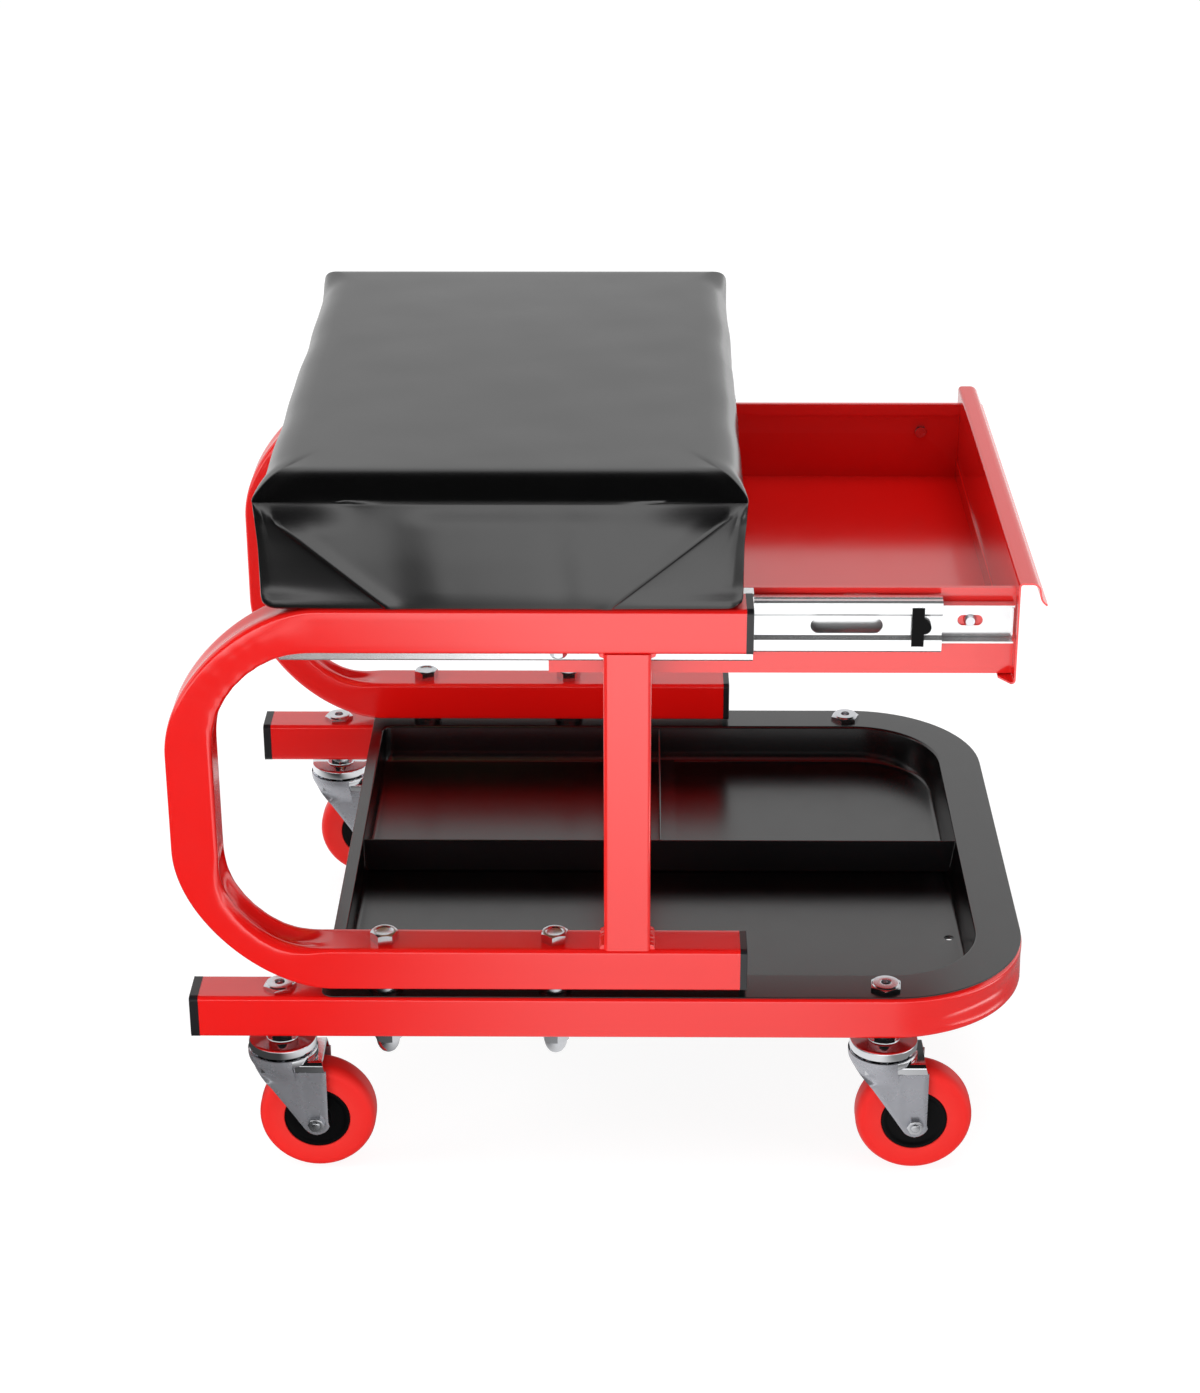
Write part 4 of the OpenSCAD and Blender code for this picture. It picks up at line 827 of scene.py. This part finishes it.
fork, plate = fork_part()
race, cap = head_parts()
tyre, hub = wheel_parts()
for name, x, y, nut_z in CASTERS:
    here = shift(x, y, 0)
    at_axle = here @ shift(TRAIL, 0, AXLE_Z) @ spin("X", 90)
    s = Shape().add((fork.v, fork.f), here).add(plate, here, 1).add(race, here, 1)
    s.piece(name + "_fork_sheet", [CHROME, MIRROR], name + "_swivel", "chrome_plate",
            [name + "_fork"], sharp=34)
    s = Shape().add(cap, here)
    s.add(lathe([(4.9, 86.4), (4.9, nut_z - 0.6), (2.4, nut_z + 0.4), (0, nut_z + 0.6)], 32), here)
    s.add(lathe([(0, 64.5), (6.2, 64.5), (7.0, 65.1), (7.0, 70.0), (0, 70.0)], 36), here)
    s.add(lathe([(4.9, 66.0), (4.9, 87.0)], 24), here)
    s.piece(name + "_swivel_cap", MIRROR, "frame", "chrome_plate", [name + "_stem"], sharp=34)
    s = Shape().add(lathe([(0, -13.2), (3, -13.2), (3, 13.2), (0, 13.2)], 24), at_axle)
    s.add(thread(4.9, -17.6, 17.6, 0.8, 20), at_axle)
    for k in (-1, 1):
        flip = at_axle @ (spin("X", 180) if k < 0 else Matrix.Identity(4))
        s.add(hexagon(8.2, 2.6, 2.2, top=0.88), flip @ shift(z=15.1))
        s.add(lathe([(0, 18.3), (1.6, 18.3), (2.3, 17.9), (2.45, 17.0)], 24), flip)
    s.piece(name + "_axle_bolt", ZINC, name + "_swivel", "zinc_plate", [name + "_axle"])
    Shape().add(tyre, at_axle).piece(name + "_tread", TYRE, name + "_wheel", "red_tyre",
                                     [name + "_tyre"], sharp=50)
    Shape().add(hub, at_axle).piece(
        name + "_hub_shell", MATT, name + "_wheel", "black_plastic", [name + "_hub"])

# Bolts, washers and nuts

BOLT_XS = (-122.5, -29.5)
heads, washers, domes, stems = Shape(), Shape(), Shape(), Shape()


def bolt_head(af, h):
    """Hex head whose top is dished inside a chamfered rim."""
    rc = af / 2 * 0.95
    dish = ((1.0, 0.0), (0.82, 0.0), (0.76, 0.12), (0.68, 0.62), (0.5, 0.8), (0.1, 0.85))
    return rings(hex_rows(af, rc, [(None, 0, 0), (None, h, 0.6)]
                          + [(rc * share, h - drop, 0) for share, drop in dish]))


# Degrees by which each fastener is turned
turns = iter((8, 21, 14, 3, 25, 11, 17, 5))
for side in (-1, 1):
    for x in BOLT_XS:
        at = shift(x, side * LEG_Y, 0)
        q = spin("Z", next(turns))
        heads.add(bolt_head(13.4, 5.6), at @ shift(z=141.5) @ q)
        heads.add(lathe([(4.95, 74.9), (4.95, 141.8)], 24), at)
        washers.add(tube_lathe([(5.3, 112.5), (8.9, 112.5), (9.2, 112.8), (9.2, 116.2),
                                (8.9, 116.5),
                                (5.3, 116.5)], 40), at)
        domes.add(hexagon(13.6, 7, 5.05, top=0.93), at @ shift(z=86.5) @ spin("X", 180) @ q)
        rim = [(6.5, 79.6), (6.45, 78.6), (6.1, 76.6), (5.3, 74.5), (4.0, 72.6), (2.3, 71.4),
               (0, 71.0)]
        domes.add(lathe([(5.1, 80.2), (6.5, 80.0)] + rim, 40), at)
for _, x, y, z in CASTERS:
    at = shift(x, y, z) @ spin("Z", next(turns))
    stems.add(hexagon(16.0, 2.4, 3.0, top=0.97), at)
    stems.add(tube_lathe([(2.5, 0.6), (7.6, 1.2), (7.7, 2.5), (7.3, 3.1), (6.8, 3.3), (3.3, 3.4),
                          (2.7, 3.1), (2.5, 2.4)], 40), at)
heads.piece("frame_bolt_heads", ZINC, "frame", "zinc_plate", ["frame_bolts"])
washers.piece("frame_washers", ZINC, "frame", "zinc_plate", ["frame_spacers"])
domes.piece("dome_nuts", ZINC, "frame", "zinc_plate", ["frame_dome_nuts"])
stems.piece("stem_hex_nuts", ZINC, "frame", "zinc_plate", ["stem_nuts"])

# Seat pad: vinyl wrapped like a parcel, with its flaps folded on the two long ends

# Middle, half length and half width of the pad; heights of its foot and of its edge over that
SX, HL, HW, Z0, SH = -54.6, 125.0, 190.8, 341.5, 71.5
# Where the long faces start to round into the top, and where the flaps' creases start
EDGE_Z, FOOT_Z = 58.5, 2.6


def crease_in(z, far):
    """Distance of the flap's crease from the pad's end at height z over the seat's foot."""
    foot, tip = (68.0, 58.5) if far else (65.0, 57.0)
    return max(10.0, foot * (1 - max(0.0, z - FOOT_Z) / (tip - FOOT_Z)))


def pad_levels():
    """(height, inset of the long faces) of each ring, up to the end of the rounded edge."""
    rows = [(0.0, 4.4), (0.35, 2.7), (1.1, 1.5), (2.2, 0.8), (3.8, 0.4)]
    z = 6.0
    while z < 54:
        rows.append((z, 0.3 + 1.0 * smooth((z - 26) / 30)))
        z += 2.6
    rows += [(55.6, 1.3), (57.2, 1.25), (58.2, 1.2), (EDGE_Z, 1.3)]
    t0, steps = 9.0, 18
    low = sin(rad(t0))
    for k in range(1, steps + 1):
        t = t0 + (90 - t0) * (k / steps)
        rows.append((EDGE_Z + (SH - EDGE_Z) * (sin(rad(t)) - low) / (1 - low),
                     1.3 + 20.5 * (cos(rad(t0)) - cos(rad(t)))))
    return rows


def end_inset(z, y):
    """How far the pad's short ends draw in at height z; they round more away from the corners."""
    w = smooth((HW - abs(y) - 4) / 34)
    fall = 9.0 + 9.5 * w
    if z < SH - fall:
        low = 1 - z / 6 if z < 6 else 0.0
        return 0.8 + 3.6 * low ** 2
    q = min(1.0, (z - (SH - fall)) / fall)
    return 0.8 + fall * (1 - sqrt(max(0.0, 1 - q * q)))


def pad_ring(z, inset):
    """Half of a ring as (x, y, distance from the nearer end); the other half is its half turn."""
    r = 6.5 - 2.5 * smooth((z - 8) / 40) - 2.8 * smooth((z - 50) / 8)
    r = max(r, 1.2)
    halves = []
    for far in (False, True):
        c = crease_in(z, far)
        lead = r + 1.2
        us = [lead + (c - 2.0 - lead) * k / 9 for k in range(1, 9)]
        us += [c - 2.0, c - 1.1, c - 0.5, c, c + 0.45, c + 1.0, c + 2.0, c + 3.6]
        us += [c + 3.6 + (HL - c - 3.6) * k / 17 for k in range(1, 18)]
        halves.append(us)
    e = 0.8
    pts = [(p[0], p[1], None) for p in corner_arc(HL - e - r, HW - inset - r, r, 0, 90, 5)]
    pts += [(HL - u, HW - inset, u) for u in halves[0]]
    pts += [(-HL + u, HW - inset, u) for u in halves[1][-2::-1]]
    pts += [(p[0], p[1], None) for p in corner_arc(-HL + e + r, HW - inset - r, r, 90, 180, 5)]
    n = 56
    span = HW - inset - r
    pts += [(-HL + e, span - 2 * span * k / n, None) for k in range(1, n)]
    return pts


def flap_back(u, z, far):
    """How far the gusset lies behind the flap at distance u from the pad's end."""
    c = crease_in(z, far)
    fade = smooth((55 - z) / 9)
    if u < c:
        return fade * (0.5 + 3.4 * (1 - u / c) ** 0.9) * smooth((c - u) / 1.8) \
            * (0.3 + 0.7 * smooth(z / 14))
    return -fade * 0.8 * math.exp(-((u - c - 3.0) / 4.0) ** 2)


def panel_wave(x, z, side):
    """Soft upright undulations of a long face."""
    t = x + (z - 30) * 0.12
    high = smooth(z / 10) * smooth((60 - z) / 14)
    wave = 0.3 * sin(t / 9.3 + 0.6 * side) * (0.6 + 0.4 * sin(t / 31 + side)) \
        + 0.3 * sin(t / 17.5 + 2.0 + side * 1.7)
    if side < 0:
        wave += 1.5 * smooth((t + 58) / 28) - 1.0 * smooth((t + 20) / 60)
        wave += 0.9 * smooth((t - 28) / 14) - 0.9 * smooth((t - 52) / 30)
    return high * wave


def pad_point(x, y, z, u, far, inset):
    """Moves a ring's point to its place on the wrapped pad."""
    sx, sy = (1 if x > 0 else -1), (1 if y > 0 else -1)
    ear = math.exp(-(((HL - abs(x)) / 12) ** 2 + ((HW - abs(y)) / 16) ** 2)) \
        * smooth((z - 30) / 26)
    end = end_inset(z, y) - 0.8
    if abs(x) > 1e-6:
        x -= sx * end * (abs(x) / HL) ** (1 if z > SH - 19 else 6)
    if u is not None and z < EDGE_Z + 0.1:
        y -= sy * flap_back(u, z, far)
        y += sy * panel_wave(x, z, sy) * smooth((u - crease_in(z, far) + 4) / 16)
        ends = 1 - smooth((HL - abs(x) - 22) / 42)
        y -= sy * (0.15 + 4.2 * ends) * smooth((z - 42) / 25)
        y -= sy * 0.45 * math.exp(-((u - 5.5) / 1.3) ** 2) * smooth(z / 8) * smooth((56 - z) / 8)
    elif u is None and z < EDGE_Z + 0.1 and abs(y) > HW - 8:
        turn_in = smooth((abs(y) - (HW - inset - 6.5)) / 6.5)
        y -= sy * turn_in * (flap_back(max(0.5, HL - abs(x)), z, far)
                             + 4.35 * smooth((z - 42) / 25))
    elif u is None and abs(y) < HW - 8:
        bulge = 1.3 * (1 - (y / HW) ** 4) * smooth(z / 12) * smooth((58 - z) / 20)
        x += sx * (bulge + 0.7 * bump_noise(y * 0.031 + 2 * sx, z * 0.03)
                   * smooth((HW - abs(y) - 10) / 26) * smooth(z / 8))
    if z > EDGE_Z:
        lift = (z - EDGE_Z) / (SH - EDGE_Z)
        if sy < 0:
            hip = math.exp(-((HL - abs(x)) / 15) ** 2 - ((HW - abs(y)) / 17) ** 2)
            z -= (z - EDGE_Z) * 0.7 * hip
        z += 3.0 * lift * smooth((y + 120) / 300)
    if sy > 0:
        ear *= 0.25
    x += sx * 1.6 * ear
    y += sy * 0.5 * ear
    z += 1.0 * ear * smooth((64 - z) / 8)
    return SX + x, y, Z0 + z


def seat_pad():
    """Rings of the pad's sides, from the foot up, and of its crowned top, from the edge in."""
    sides, top = [], []
    for z, inset in pad_levels():
        half = pad_ring(z, inset)
        sides.append([pad_point(x * flip, y * flip, z, u, x < 0, inset)
                      for flip in (1, -1) for x, y, u in half])
    steps = 26
    for k in range(1, steps):
        t = k / steps
        f = 1 - t ** 1.3 * 0.985
        ring = []
        for x, y, z in sides[-1]:
            nx, ny = SX + (x - SX) * f, y * f
            crown = 1.8 * cos(pi / 2 * min(1, abs(nx - SX) / 112)) \
                * cos(pi / 2 * min(1, abs(ny) / 172))
            level = Z0 + SH + 3.0 * smooth((ny + 120) / 300)
            soft = 0.16 * bump_noise(nx * 0.035, ny * 0.028) * smooth(t * 4)
            ring.append((nx, ny, z + (level - z) * smooth((1 - f) / 0.16) + crown + soft))
        top.append(ring)
    return sides, top


side_rows, top_rows = seat_pad()
hem = [[(SX + (x - SX) * k, y * m, Z0 + dz) for x, y, _ in side_rows[0]]
       for k, m, dz in ((0.99, 0.993, 0.0), (0.91, 0.938, 0.0), (0.906, 0.935, 0.5),
                        (0.908, 0.936, 1.0))]
pad = Shape().add(rings(hem[::-1] + side_rows + top_rows, caps=(False, True)))
pad = pad.piece("seat_cushion", VINYL, "frame", "vinyl", ["seat_cover", "seat_foam"], sharp=50)

# Drawer: the front panel, with a return at its foot and a pull lip, is drawn anew

PANEL_HALF = 161.3
sheet = strip(smooth_path([(206.5, 289.0), (214.5, 289.0), (214.5, 345.5), (222.6, 345.5),
                           (225.0, 343.4), (225.6, 339.0), (226.6, 335.8), (229.2, 333.4)],
                          [2.0, 2.0, 2.0, 1.6, 2.4, 2.4], 5), SHEET)
panel = Shape().add(rings([[(x, k * (PANEL_HALF - 1.4 * max(0.0, 212.5 - x)), z)
                            for x, z in sheet] for k in (-1, 1)]))
panel.piece("drawer_front_sheet", RED, "drawer", "red_paint", ["drawer_front"], sharp=40)
